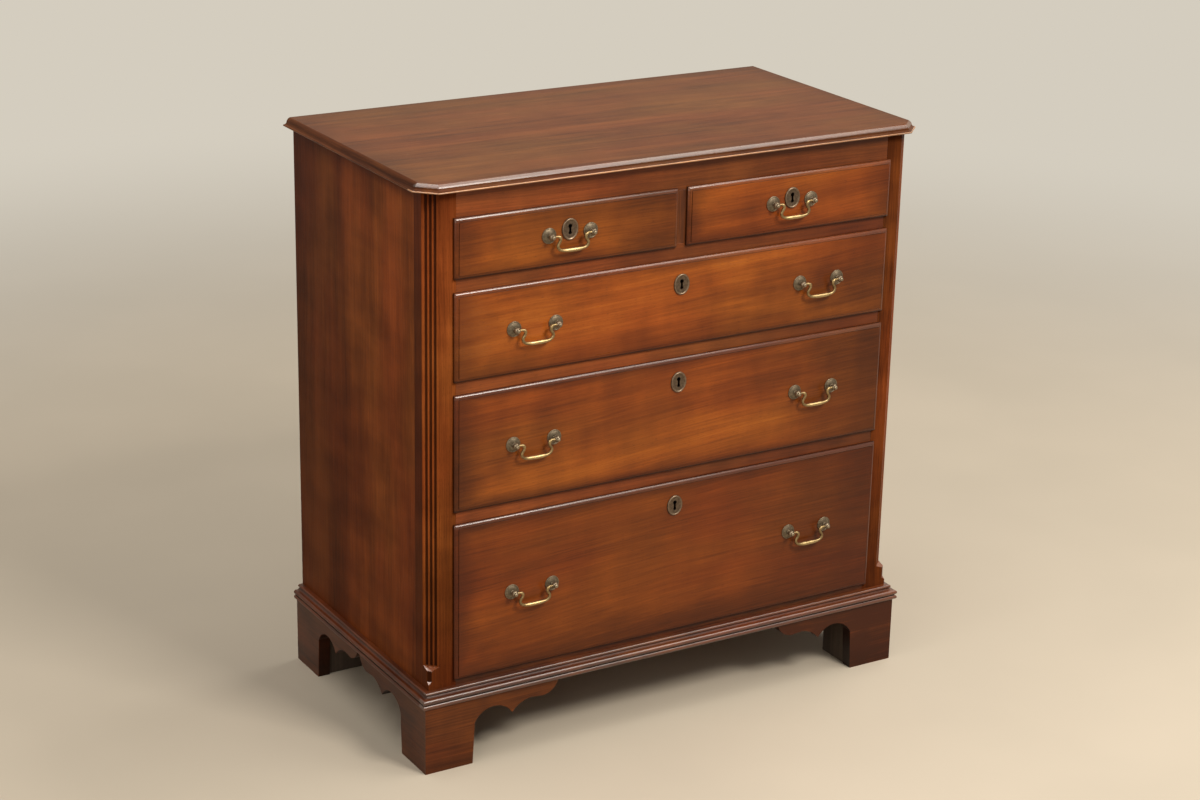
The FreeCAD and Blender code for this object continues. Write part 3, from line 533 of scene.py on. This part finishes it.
def flute_masks(own, shape):
    """Masks on a cant: cant for painted light, grooves and tongue for wax and painted shade, ledge for
    polish.
    """
    half_width, front, leg = shape
    inside_x = sums("SUBTRACT", half_width, sums("ABSOLUTE", own["X"]))
    inside_y = sums("SUBTRACT", own["Y"], front)
    deep = sums("SUBTRACT", sums("ADD", inside_x, inside_y), leg)
    inner = sums("MINIMUM", inside_x, inside_y)
    cant = spread(inner, 0.0003, 0.0008, 0.0, 1.0)
    groove = spread(inner, 0.0014, 0.0022, 0.0, 1.0)
    groove = sums("MULTIPLY", spread(deep, 0.0003, 0.0022, 0.0, 1.0), groove)
    stop = sums("MULTIPLY", cant, spread(deep, -0.0012, -0.0004, 1.0, 0.0))
    tongue = sums("MULTIPLY", stop, in_band(own["Z"], tongue_span))
    return cant, sums("MAXIMUM", groove, tongue), sums("SUBTRACT", stop, tongue)


def sawn_mask(where, middle, half):
    """1 on faces that lie inside the outer faces of a box: the sawn edges of the feet."""
    inward = vectors("ABSOLUTE", vectors("SUBTRACT", where, middle))
    inward = split(vectors("SUBTRACT", half, inward))
    return spread(sums("MINIMUM", inward["X"], inward["Y"]), 0.0004, 0.0016, 0.0, 0.94)


def keyhole_shadow_mask(where, x, z):
    """1 in an oval round a keyhole, for its painted shadow: the distance from the middle, in half widths.
    """
    near = vectors("SUBTRACT", where, (x, 0.0, z))
    near = length(vectors("DIVIDE", near, keyhole_shadow_half))
    return spread(near, 0.8, 1.0, 0.97, 0.0)


print("masks ready")

# %% [markdown]
# ## Grain and polish
# Every board was cut with its grain along its length: level on rails and drawers, upright on sides
# and posts. A Mapping node turns the coordinates so that x runs along the grain, and shifts them,
# so that no two boards show the same figure. Polish is a clear layer over the wood, which the
# shader has as its coat, so it needs no second material.

# %% Grain and polish
grain_turn = {"x": (0.0, 0.0, 0.0), "y": (0.0, 0.0, -math.pi / 2), "z": (0.0, math.pi / 2, 0.0)}
polish_ior = 1.6


def along_grain(where, mitred, shift, turn):
    """A vector whose x runs along the grain: swapped at a mitre, then shifted and turned."""
    if mitred:
        sockets = {"Vector": where, "Middle": mitred[0], "Half": mitred[1], "Margin": mitred[2]}
        where = use_group(mitred_boards, sockets)["Vector"]
    sockets = {"Vector": where, "Location": shift, "Rotation": turn}
    return place(where.id_data, "ShaderNodeMapping", sockets).outputs[0]


def polished(shader, weight, roughness):
    """A coat of polish where a mask says so."""
    connect(shader, {"Coat Weight": weight, "Coat Roughness": roughness, "Coat IOR": polish_ior})


print("grain directions:", list(grain_turn))

# %% [markdown]
# ## The mahogany finish
# One function makes the finish of a board from the groups and masks: the figure picks a colour of
# the stain, the edges darken it, rims and ledges get a coat of polish, and the figure also changes
# the gloss a little and raises a very fine bump. What a board doesn't have is left out, so a plain
# rail gets a short network and the top a long one.

# %% Mahogany
rubbed_edge_and_shade_tint, painted_lip_shade_tint = (0.40, 0.36, 0.42, 1.0), (0.26, 0.24, 0.28, 1.0)
groove_wax_and_shade_tint, sawn_tint = (0.26, 0.26, 0.34, 1.0), (0.24, 0.27, 0.34, 1.0)
wax_colour, worn_and_lit_bead_colour = (0.020, 0.009, 0.005, 1.0), (0.56, 0.26, 0.10, 1.0)
keyhole_shadow_colour = (0.004, 0.002, 0.001, 1.0)
painted_cant_light, ledge_roughness, rim_roughness = 0.16, 0.12, 0.25


def mahogany(name, grain="x", shift=(0, 0, 0), slope=0.0, tone=0.0, panel=None, face="front",
             mitred=None, reach=(0.07, 0.12, 0.02, 0.05), edge_depth=0.75, ribbon=0.40, streak=0.34,
             mottle=0.30, shine=0.25, rims=None, polish=0.55, bare=None, cant_leg=-1.0, bead=None,
             painted_lip_shade=None, keyhole=None, fluted=None, sawn=False, marks=0.0, stained=case_stain):
    """The finish of one board. A panel brings shaded edges, a mitred box turned grain, rims polish."""
    material, shader, where = new_finish(name)
    own = split(where)
    along = along_grain(where, mitred, shift, np.array(grain_turn[grain]) + (0.0, slope, 0.0))
    figure = use_group(wood_figure, {"Vector": along, "Ribbon": ribbon, "Streak": streak, "Mottle": mottle})
    level = sums("ADD", figure["Tone"], tone, use_clamp=True)
    if fluted:
        cant, dark, ledge = flute_masks(own, fluted)
        # The cant is lifted lighter: painted light, as it turns away from the main lamp.
        level = sums("MULTIPLY_ADD", cant, painted_cant_light, level, use_clamp=True)
        polished(shader, ledge, ledge_roughness)
    colour = use_group(stained, {"Tone": level, "Glow": figure["Glow"], "Pores": figure["Pores"]})["Color"]
    if fluted:
        # Grooves and tongue darkened: wax, and painted shade.
        colour = blend(dark, colour, tinted(colour, groove_wax_and_shade_tint))
    if marks:
        mark = use_group(wear_marks, {"Vector": along, "Depth": marks})["Marks"]
        colour = blend(mark, colour, wax_colour)
    crisp = {"Ragged": 0.0, "Cant Leg": cant_leg}
    # Darker edges by each board's reach: finish, and on fronts and rails the long reach at the right is
    # painted shade.
    if panel:
        edge = sums("MULTIPLY", edge_mask(own, panel, face, reach, {}), edge_depth)
        colour = blend(edge, colour, tinted(colour, rubbed_edge_and_shade_tint))
    # A dark band along the lower lip: painted shade, as that lip faces down, away from the lamps.
    if painted_lip_shade:
        edge = edge_mask(own, panel, face, painted_lip_shade, crisp)
        colour = blend(edge, colour, tinted(colour, painted_lip_shade_tint))
    if rims:
        rim = spread(edge_mask(own, panel, face, rims, crisp), 0.0, 0.08, 0.0, polish)
        if bare:
            rim = sums("MULTIPLY", rim, sums("SUBTRACT", 1.0, in_band(own["Z"], bare)))
        # The bead is painted paler: wood worn through the finish, and a painted highlight where it faces
        # the main lamp.
        if bead:
            worn = sums("MULTIPLY", rim, in_band(own["Z"], bead))
            worn = sums("MULTIPLY", worn, spread(level, 0.1, 0.4, 0.3, 0.9))
            colour = blend(worn, colour, worn_and_lit_bead_colour)
        polished(shader, rim, rim_roughness)
    if sawn:
        colour = blend(sawn_mask(where, *mitred[:2]), colour, tinted(colour, sawn_tint))
    # The wood behind the keyhole is painted black: a painted shadow seen through the hole.
    if keyhole:
        colour = blend(keyhole_shadow_mask(where, *keyhole), colour, keyhole_shadow_colour)
    # Hollows darkened: wax, and painted shade.
    colour = use_group(hollow_wax_and_shade, {"Color": colour})["Color"]
    gloss = spread(level, 0.2, 0.8, 0.34, 0.26, "LINEAR")
    normal = raised(figure["Height"], strength=0.25, distance=0.0003)
    sockets = {"Base Color": colour, "Roughness": gloss, "Normal": normal, "Specular IOR Level": shine}
    connect(shader, sockets)
    return material


print("mahogany ready")

# %% [markdown]
# ## Drawer fronts
# The five fronts were cut from different boards. The upper one is the liveliest and the lower one
# the plainest and reddest; the lower one is also darker, partly as painted shade for light that falls
# off towards the floor. All of them are darker at their ends and at the lower edge, and the long
# darkening at the right is painted shade. A dark line along the lower lip is painted shade too. The
# upper lip is polished by use, and the wood behind the keyhole is painted black, a painted shadow
# that shows through the hole.

# %% Drawer fronts
lip_width, no_rim = 0.0075, 1e-5
# Each front's long right reach is painted shade, for light that falls off towards the right.
drawer_looks = {
    "small_left_drawer": dict(shift=(0.7, 0.1, 0.31), slope=0.03, tone=-0.09,
                              reach=(0.06, 0.16, 0.008, 0.03)),
    "small_right_drawer": dict(shift=(2.9, 0.2, 0.57), slope=0.05, tone=-0.05,
                               reach=(0.05, 0.08, 0.008, 0.03)),
    "upper_drawer": dict(shift=(5.1, 0.3, 0.83), slope=0.06, tone=0.07, reach=(0.10, 0.36, 0.02, 0.06),
                         ribbon=0.7, streak=0.60, mottle=0.42, edge_depth=0.95),
    "middle_drawer": dict(shift=(7.7, 0.4, 1.19), slope=0.05, tone=-0.04,
                          reach=(0.07, 0.38, 0.025, 0.03), edge_depth=1.0),
    # The lower front's lower tone is partly painted shade, for light that falls off towards the floor.
    "lower_drawer": dict(shift=(9.3, 0.5, 1.61), slope=0.04, tone=-0.14,
                         reach=(0.05, 0.36, 0.035, 0.075), ribbon=0.24, streak=0.22, mottle=0.18,
                         edge_depth=0.88, stained=lower_stain),
}
drawer_names = tuple(drawer_looks)
lip_look = dict(rims=(no_rim, lip_width * 0.6, lip_width, no_rim), painted_lip_shade=(no_rim, no_rim, no_rim, 0.006),
                stained=drawer_stain)


def corners(name):
    """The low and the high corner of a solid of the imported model."""
    return tuple(np.array(corner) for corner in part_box(name))


def finish_node(name, material):
    """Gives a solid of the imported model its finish."""
    for slot in nodes[name].material_slots:
        slot.link = "OBJECT"
        slot.material = material


for name, look in drawer_looks.items():
    x, _, z = sum(corners(name + "_escutcheon")) / 2
    look = {**lip_look, "panel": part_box(name + "_front"), "keyhole": (x, z), **look}
    finish_node(name + "_front", mahogany(name + "_mahogany", **look))
print("mahogany on", len(drawer_looks), "drawer fronts")

# %% [markdown]
# ## Boards of the case
# The top shows its polish on the moulded edge, and its bead is painted paler: partly wood worn
# through the finish, partly a painted highlight where the bead faces the main lamp. The sides are
# ribboned, and dim towards the back. The posts are darker at their ends, and the rails get darker to
# the right, which is painted shade for light that falls off that way. The bottom rail and the centre
# stile are painted darker, as painted shade under the lip of the lower drawer and between the two
# small drawers. The base moulding and the feet are the darkest, and a foot gets darker towards the
# floor.

# %% Boards of the case
feet = ("front_left_foot", "front_right_foot", "back_left_foot", "back_right_foot")
top_box, base_box = corners("top_board"), corners("base_moulding")
foot_box = (np.min([corners(foot)[0] for foot in feet], axis=0),
            np.max([corners(foot)[1] for foot in feet], axis=0))


def mitre(box, depth):
    """Middle and half size of a box whose boards meet in mitres, and the depth of its side boards."""
    low, high = box
    return (low + high) / 2, (high - low) / 2, depth


every_depth, moulding_depth, base_depth, top_cant = 1.0, 0.013, 0.02, 0.031
top_hollow, base_hollow, top_bead = (0.9929, 0.9978), (0.1366, 0.1400), (0.9906, 0.9928)
post_shape = (0.464, -0.236, 0.0205)
post_look = dict(grain="z", reach=(no_rim, no_rim, 0.14, 0.36), shine=0.02, fluted=post_shape)
# Rails darken far towards the right: painted shade for light that falls off that way.
rail_reach = (no_rim, 0.80, no_rim, no_rim)
side_look = dict(grain="z", tone=-0.04, ribbon=0.9, streak=0.16, shine=0.02, face="side",
                 edge_depth=0.9, reach=(no_rim, 0.40, 0.03, 0.03))

board_looks = {
    "top_board": dict(shift=(1.3, 0.2, 0.4), tone=-0.245, face="top",
                      reach=(0.06, 0.06, 0.05, 0.05), edge_depth=0.5, ribbon=0.14, streak=0.26,
                      mottle=0.08, shine=0.05, rims=(no_rim, moulding_depth, no_rim, moulding_depth),
                      bare=top_hollow, cant_leg=top_cant, polish=0.9, bead=top_bead, marks=0.6,
                      stained=top_stain, mitred=mitre(top_box, moulding_depth)),
    "left_side_panel": dict(shift=(0.4, 1.7, 0.2), **side_look),
    "right_side_panel": dict(shift=(2.4, 3.7, 1.2), **side_look),
    "left_corner_post": dict(shift=(4.4, 0.7, 2.2), tone=-0.09, edge_depth=0.86, **post_look),
    "right_corner_post": dict(shift=(6.4, 1.7, 3.2), tone=-0.25, edge_depth=0.55, **post_look),
    "top_rail": dict(shift=(8.1, 0.7, 0.9), tone=-0.04, reach=rail_reach),
    "drawer_rails": dict(shift=(3.1, 1.7, 1.9), tone=-0.05, reach=rail_reach, edge_depth=0.85),
    # The bottom rail and the centre stile are painted darker: painted shade under a lip and between
    # drawers.
    "bottom_rail": dict(shift=(6.1, 2.7, 2.9), tone=-0.34, panel=None),
    "centre_stile": dict(grain="z", shift=(5.4, 4.7, 0.6), tone=-0.32, panel=None),
    "base_moulding": dict(shift=(4.1, 3.7, 3.9), tone=-0.28, face="top", edge_depth=0.0,
                          rims=(no_rim, base_depth, no_rim, base_depth), polish=0.9,
                          bare=base_hollow, mitred=mitre(base_box, every_depth)),
}
for foot in feet:
    tone = -0.37 if foot == "front_right_foot" else -0.22
    board_looks[foot] = dict(shift=(len(board_looks) * 1.7, 0.3, 0.8), tone=tone, shine=0.2,
                             edge_depth=0.55, panel=foot_box, reach=(no_rim, no_rim, no_rim, 0.08),
                             sawn=True, mitred=mitre(foot_box, every_depth))
for name, look in board_looks.items():
    finish_node(name, mahogany(name + "_mahogany", **{"panel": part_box(name), **look}))
print("mahogany on", len(board_looks), "boards of the case")

# %% [markdown]
# ## Rounded edges
# A cabinetmaker eases every edge with a few strokes of fine paper, and the light catches on it.
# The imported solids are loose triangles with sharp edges, so the boards get a merge and a narrow
# bevel. Mouldings and feet are kept crisp instead: their long faces would otherwise borrow the
# direction of the faces round a mitre, and the pale lines along them would be lost. All of these
# are modifiers, and the solids themselves stay as they are.

# %% Eased edges
eased, fluted_eased, merge_distance = 0.0007, 0.0003, 1e-5
bevel = dict(segments=2, limit_method="ANGLE", angle_limit=math.radians(35.0), harden_normals=True)
crisp = dict(split_angle=math.radians(17.0), use_edge_sharp=False)
moulded = ("top_board", "base_moulding", *feet)


def modify(name, label, kind, **settings):
    """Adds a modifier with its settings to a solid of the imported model."""
    modifier = nodes[name].modifiers.new(label, kind)
    for key, value in settings.items():
        setattr(modifier, key, value)


for name in list(board_looks) + [drawer + "_front" for drawer in drawer_names]:
    modify(name, "merge", "WELD", merge_threshold=merge_distance)
    if name in moulded:
        modify(name, "crisp", "EDGE_SPLIT", **crisp)
    else:
        modify(name, "ease", "BEVEL", width=fluted_eased if name.endswith("_post") else eased, **bevel)
print("edges eased by", eased * 1000, "mm")

# %% [markdown]
# ## Plain wood inside
# The drawer boxes, runners and the back are of a paler plain wood without stain. The same figure
# group serves, with a straw coloured ramp. The blocks behind the feet are of the same wood, nearly
# black.


# %% Secondary wood
def plain_wood(name, grain="x", shift=(0, 0, 0), tone=0.0, sides=None, pale=(0.46, 0.30, 0.155),
               dark=(0.20, 0.115, 0.055)):
    """Unstained wood with the same figure and a straw coloured ramp. Side boards get their own grain."""
    material, shader, where = new_finish(name)
    along = along_grain(where, sides, shift, grain_turn[grain])
    figure = use_group(wood_figure, {"Vector": along, "Streak": 0.8, "Mottle": 0.2})
    level = sums("ADD", figure["Tone"], tone, use_clamp=True)
    colour = ramp(level, ((0.2, dark), (0.75, pale)))
    gloss = spread(level, 0.2, 0.8, 0.75, 0.6, "LINEAR")
    normal = raised(figure["Height"], strength=0.4, distance=0.0004)
    sockets = {"Base Color": colour, "Roughness": gloss, "Normal": normal, "Specular IOR Level": 0.3}
    connect(shader, sockets)
    return material


box_side = 0.0112
for number, name in enumerate(drawer_names):
    boards = mitre(corners(name + "_box"), box_side)
    finish_node(name + "_box", plain_wood(name + "_box_wood", "x", (number * 1.3, 0.4, 0.2), sides=boards))
near_black_colours = dict(pale=(0.085, 0.060, 0.042), dark=(0.028, 0.020, 0.015))
inner_looks = {"drawer_runners": "y", "drawer_guides": "y", "top_cleats": "x", "bottom_board": "x",
               "back_panel": "z", "glue_blocks": "z"}
for number, (name, grain) in enumerate(inner_looks.items()):
    tone = -0.1 if name == "back_panel" else 0.0
    colours = near_black_colours if name == "glue_blocks" else {}
    finish_node(name, plain_wood(name + "_wood", grain, (number * 0.9, 2.4, 1.2), tone, **colours))
print("plain wood on", len(drawer_names) + len(inner_looks), "solids")

# %% [markdown]
# ## The skin of metal
# Old brass isn't even: its brown skin is blotchy and has small pits. One group makes such a skin
# from two sizes of noise, as a mask between two colours and a height for the bump, and every metal
# here can use it.

# %% Metal skin group
metal_skin, given, filled = new_group(
    "metal_skin",
    (("Vector", "Vector", (0, 0, 0)), ("Scale", "Float", 220.0)),
    (("Skin", "Float"), ("Height", "Float")))
tree = metal_skin
blotch = cloud(given["Vector"], given["Scale"], 4.0, 0.6)["Fac"]
pits = cloud(given["Vector"], sums("MULTIPLY", given["Scale"], 5.0))["Fac"]
tree.links.new(spread(blotch, 0.32, 0.68, 0.0, 1.0), filled["Skin"])
tree.links.new(sums("MULTIPLY_ADD", pits, 0.6, blotch), filled["Height"])
print("metal skin group with", len(tree.nodes), "nodes")

# %% [markdown]
# ## Metals
# The rosettes and keyhole plates are dull olive brown, the handles are brighter where hands polish
# them, and the locks and screws are plain steel. The fittings made further down carry an attribute
# that tells how worn each point is, and the brass shows there.


# %% Metals
def metal(name, dark, bare, gloss=(0.55, 0.38), pitting=0.3, worn=None):
    """A metal with a blotchy skin between two colours; an attribute of the piece can bare it."""
    material, shader, where = new_finish(name)
    skin = use_group(metal_skin, {"Vector": where})
    level = skin["Skin"]
    if worn:
        mark = place(shader.id_data, "ShaderNodeAttribute", attribute_name=worn).outputs["Fac"]
        mark = sums("MULTIPLY_ADD", mark, 0.8, -0.1)
        level = sums("MULTIPLY_ADD", level, 0.45, mark, use_clamp=True)
    colour = ramp(level, ((0.0, dark), (1.0, bare)))
    roughness = spread(level, 0.0, 1.0, *gloss, "LINEAR")
    normal = raised(skin["Height"], strength=pitting, distance=0.0002)
    sockets = {"Base Color": colour, "Roughness": roughness, "Normal": normal, "Metallic": 1.0}
    connect(shader, sockets)
    return material


aged_brass = metal("aged_brass_skin", (0.130, 0.100, 0.068), (0.34, 0.275, 0.190), worn="worn")
plate_brass = metal("keyhole_plate_skin", (0.105, 0.073, 0.050), (0.26, 0.188, 0.130), worn="worn")
bright_brass = metal("bright_brass_skin", (0.18, 0.120, 0.060), (0.47, 0.345, 0.165), gloss=(0.48, 0.36),
                     pitting=0.12, worn="worn")
steel = metal("plain_steel_skin", (0.16, 0.15, 0.14), (0.42, 0.42, 0.42), gloss=(0.5, 0.3), pitting=0.2)
steel_nodes = [name for name in nodes if name.endswith(("_lock_case", "_lock_bolt", "_screws"))]
for name in steel_nodes:
    finish_node(name, steel)
print("steel on", len(steel_nodes), "solids")

# %% [markdown]
# ## Surfaces from grids
# Every brass fitting is a grid of points: rows along a profile or a path, columns around it. The
# helpers turn a stack of rings into faces, closing each ring on itself and closing the two ends
# with a single point, and put the result into a mesh. Faces are kept as blocks of whole arrays,
# quads and triangles apart, until the mesh is filled.


# %% Grid helpers
def ring_faces(rings, around, loop=False):
    """Faces between neighbouring rings of points, each ring closed; loop joins the last to the first."""
    row, column = np.meshgrid(np.arange(rings if loop else rings - 1), np.arange(around), indexing="ij")
    start, after = row * around, (row + 1) % rings * around
    beside = (column + 1) % around
    faces = np.stack((start + column, start + beside, after + beside, after + column), axis=-1)
    return faces.reshape(-1, 4)


def capped(grid, start, end):
    """Points and faces of a stack of rings (rings, around, 3) closed by a point at each end."""
    rings, around = grid.shape[:2]
    points = np.vstack((grid.reshape(-1, 3), start, end))
    column = np.arange(around)
    beside = (column + 1) % around
    last = (rings - 1) * around
    begin = np.stack((np.full(around, rings * around), beside, column), axis=-1)
    finish = np.stack((np.full(around, rings * around + 1), last + column, last + beside), axis=-1)
    return points, [ring_faces(rings, around), begin, finish]


def joined(parts):
    """Several (points, blocks of faces) pairs as one: each counts on from the points before it."""
    starts = np.cumsum([0] + [len(points) for points, _ in parts])
    blocks = [block + start for (_, own), start in zip(parts, starts) for block in own]
    return np.vstack([points for points, _ in parts]), blocks


def fitting(name, points, blocks, material, worn, body, node):
    """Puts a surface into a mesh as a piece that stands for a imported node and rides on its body."""
    mesh = bpy.data.meshes.new(name)
    mesh.from_pydata(points.tolist(), [], sum((block.tolist() for block in blocks), []))
    mesh.validate()
    mark = mesh.attributes.new("worn", "FLOAT", "POINT")
    mark.data.foreach_set("value", np.clip(worn, 0.0, 1.0).astype(np.float32))
    mesh.shade_smooth()
    mesh.set_sharp_from_angle(angle=math.radians(38.0))
    mesh.materials.append(material)
    piece = bpy.data.objects.new(name, mesh)
    scene.collection.objects.link(piece)
    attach(piece, body)
    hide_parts(node)


print("grid helpers ready")

# %% [markdown]
# ## Posts and rosettes
# Each handle hangs between two turned brass posts. A post has a button at its tip, a ball that
# takes the end of the handle, a neck and a domed rosette against the wood, and its stud goes
# through the drawer front to a round nut inside. It is a turned piece, so its surface is a profile
# of radius against distance from the drawer's face, carried once around the axis.

# %% Posts and rosettes
mm = 0.001
drawer_face = -0.244
stud_radius = 2.5
inner_face, nut_end, stud_length = -24.0, -28.0, 30.0


def arc(centre, radius, start, end, count):
    """Points on a circle in a plane between two angles in degrees."""
    angle = np.radians(np.linspace(start, end, count))
    return np.column_stack((centre[0] + radius * np.cos(angle), centre[1] + radius * np.sin(angle)))


dome_r = np.linspace(4.6, 11.4, 12)
turned_profile = np.vstack((
    arc((1.0, 15.6), 2.4, 88, -35, 11),
    arc((0.0, 11.2), 5.4, 46, -44, 16),
    arc((5.2, 6.1), 1.9, 148, 222, 6),
    arc((3.6, 4.25), 0.7, 60, -40, 4),
    np.column_stack((dome_r, 1.55 + 2.75 * (1.0 - (dome_r / 11.4) ** 2.2))),
    arc((12.15, 1.0), 0.85, 140, 0, 7),
    np.array(((13.0, 0.05), (stud_radius, 0.05), (stud_radius, inner_face), (6.6, inner_face),
              (7.0, inner_face - 0.4), (7.0, nut_end + 0.6), (6.2, nut_end), (stud_radius, nut_end),
              (stud_radius, 0.3 - stud_length), (2.1, -stud_length))),
))
around_post = 36


def turned_post(x, z):
    """Revolves the profile: (x + r cos a, face - t, z + r sin a), with a pole at both ends."""
    r, out = turned_profile.T[..., None] * mm
    angle = full_turn(around_post)
    depth = np.repeat(drawer_face - out, around_post, 1)
    grid = np.stack((x + r * np.cos(angle), depth, z + r * np.sin(angle)), axis=-1)
    tip = (x, drawer_face - out.max(), z)
    return capped(grid, tip, (x, drawer_face + mm * stud_length, z))


rosette_rim = np.abs(turned_profile[:, 0] - 12.4) < 0.7
post_worn = np.clip((turned_profile[:, 1] - 3.5) / 12.0, 0.0, 0.75) + 0.30 * rosette_rim
hinges = {joint["name"][:-len("_hinge")]: joint for joint in frame["joints"] if joint["type"] == "hinge"}
post_half_spacing = 0.0381
for drawer in drawer_names:
    parts, marks = [], []
    for joint in hinges.values():
        if joint["parent"] == drawer:
            x, _, z = joint["pos_m"]
            for hand in (-1, 1):
                parts.append(turned_post(x + hand * post_half_spacing, z))
                marks.append(np.concatenate((np.repeat(post_worn, around_post), (0.8, 0.0))))
    points, blocks = joined(parts)
    fitting(drawer + "_posts", points, blocks, aged_brass, np.concatenate(marks), drawer,
            drawer + "_pull_mounts")
print("posts on", len(drawer_names), "drawers,", sum(map(len, blocks)), "faces on the last")

# %% [markdown]
# ## Handles
# A bail is a drop handle bent from a tapered rod. Its two ends turn in the posts, each bends over
# into a knuckle, the arms lean outwards and the bar between them swells at its middle. Its line is
# a smooth curve through a few points of one half, mirrored for the other, and a circle whose radius
# changes along the way is carried along it.

# %% Handles
bail_points = np.array((
    (47.0, 0.0), (37.0, 0.0), (28.3, 0.1), (24.4, -1.7), (23.1, -5.0), (24.3, -8.6), (26.9, -12.5),
    (27.9, -16.4), (25.9, -20.4), (21.2, -23.2), (13.0, -24.4), (0.0, -24.7), (-13.0, -24.4)))


def smooth_line(points, steps):
    """A Catmull-Rom curve: cubics between neighbours, the slope at a point set by the two beside it."""
    before, here, after, beyond = (points[k:len(points) - 3 + k, None] for k in range(4))
    t = np.linspace(0.0, 1.0, steps, endpoint=False)[None, :, None]
    curve = 0.5 * (2 * here + (after - before) * t + (2 * before - 5 * here + 4 * after - beyond) * t ** 2
                   + (3 * here - before - 3 * after + beyond) * t ** 3)
    return np.vstack((curve.reshape(-1, 2), points[-2]))


half_line = smooth_line(bail_points, 6)
bail_line = np.vstack((half_line, (half_line * (-1, 1))[-2::-1]))
bail_steps = np.concatenate(((0.0,), np.cumsum(np.linalg.norm(np.diff(bail_line, axis=0), axis=1))))
half_length = bail_steps[-1] / 2
bail_reach = half_length - np.abs(bail_steps - half_length)
knuckle_at, bar_from = 13.5, half_length - 19.0
bail_radius = (1.9 + 0.55 * np.clip((bail_reach - 8.0) / 4.0, 0.0, 1.0)
               + 0.45 * np.exp(-((bail_reach - knuckle_at) / 2.6) ** 2)
               + 0.75 * np.clip((bail_reach - bar_from) / 10.0, 0.0, 1.0))
around_bail = 18


def bail_surface(x, y, z):
    """Carries a circle along the line: centre + r (cos a * sideways + sin a * forwards)."""
    ahead = np.gradient(bail_line, axis=0)
    ahead = ahead / np.linalg.norm(ahead, axis=1, keepdims=True)
    sideways = np.column_stack((-ahead[:, 1], ahead[:, 0]))
    angle = full_turn(around_bail)
    across = bail_radius[:, None] * np.cos(angle)
    flat = bail_line[:, None, :] + across[..., None] * sideways[:, None, :]
    depth = -bail_radius[:, None] * np.sin(angle)
    grid = np.stack((x + mm * flat[..., 0], y + mm * depth, z + mm * flat[..., 1]), axis=-1)
    return capped(grid, grid[0].mean(axis=0), grid[-1].mean(axis=0))


bail_worn = (0.2 + 0.65 * np.clip((bail_reach - bar_from + 6.0) / 16.0, 0.0, 1.0)
             + 0.35 * np.exp(-((bail_reach - knuckle_at) / 3.0) ** 2))
for bail, joint in hinges.items():
    points, blocks = bail_surface(*joint["pos_m"])
    marks = np.concatenate((np.repeat(bail_worn, around_bail), (0.2, 0.2)))
    fitting(bail + "_rod", points, blocks, bright_brass, marks, bail, bail)
print("handles:", len(hinges), "with", sum(map(len, blocks)), "faces each")

# %% [markdown]
# ## Keyhole plates
# Each keyhole has an oval plate with a raised rim, and the key goes in through a real opening. The
# surface is polar: at every angle it starts on the outline of the keyhole, runs out to the oval,
# down its edge and back behind to the keyhole, so it closes on itself both ways.

# %% Keyhole plates
plate_turns = 128
angle = full_turn(plate_turns)
aim = np.column_stack((np.cos(angle), np.sin(angle)))
head_r, foot_r, waist, hole_height = 3.7, 3.0, 4.0, 18.0


def far_side(centre_v, radius):
    """Where a ray from the middle leaves a circle on the upright axis, or 0 where it misses it."""
    along = centre_v * aim[:, 1]
    inside = radius ** 2 - (centre_v * aim[:, 0]) ** 2
    return np.where((inside > 0) & (along > 0), along + np.sqrt(np.maximum(inside, 0.0)), 0.0)


straight = np.minimum(waist / 2 / np.maximum(np.abs(aim[:, 0]), 1e-6), hole_height / 2 - 2.7)
head, foot = far_side(hole_height / 2 - head_r, head_r), far_side(foot_r - hole_height / 2, foot_r)
hole_edge = np.maximum(straight, np.maximum(head, foot))
plate_half = np.array((15.0, 18.0))
oval_edge = 1.0 / np.linalg.norm(aim / plate_half, axis=1)
inset = np.array((0.0, 0.35, 0.9, 1.6, 2.2, 2.7, 3.3, 4.2))
rise = np.array((1.2, 1.9, 2.45, 2.75, 2.6, 2.1, 1.75, 1.6))


def keyhole_plate(x, y, z):
    """Rows from the keyhole's edge over the field and the rim and round the back, a closed loop."""
    field_width = oval_edge - inset[-1] - hole_edge
    field = hole_edge + np.array((0.0, 0.25, 0.55))[:, None] * field_width
    rim = oval_edge[None, :] - inset[::-1, None]
    outward = np.vstack((field, rim, oval_edge[None, :], hole_edge[None, :]))
    lift = np.concatenate(((1.35, 1.6, 1.65), rise[::-1], (0.0, 0.0)))
    grid = np.stack((x + mm * outward * aim[:, 0], np.repeat(y - mm * lift[:, None], plate_turns, 1),
                     z + mm * outward * aim[:, 1]), axis=-1)
    return grid.reshape(-1, 3), ring_faces(len(lift), plate_turns, loop=True)[:, ::-1], lift


for drawer in drawer_names:
    low, high = corners(drawer + "_escutcheon")
    middle = (low + high) / 2
    points, faces, lift = keyhole_plate(middle[0], high[1], middle[2])
    marks = np.repeat(np.clip((lift - 1.6) / 1.2, 0.05, 0.65), plate_turns)
    fitting(drawer + "_keyhole_plate", points, [faces], plate_brass, marks, drawer,
            drawer + "_escutcheon")
print("keyhole plates:", len(drawer_names), "with", len(faces), "faces each")
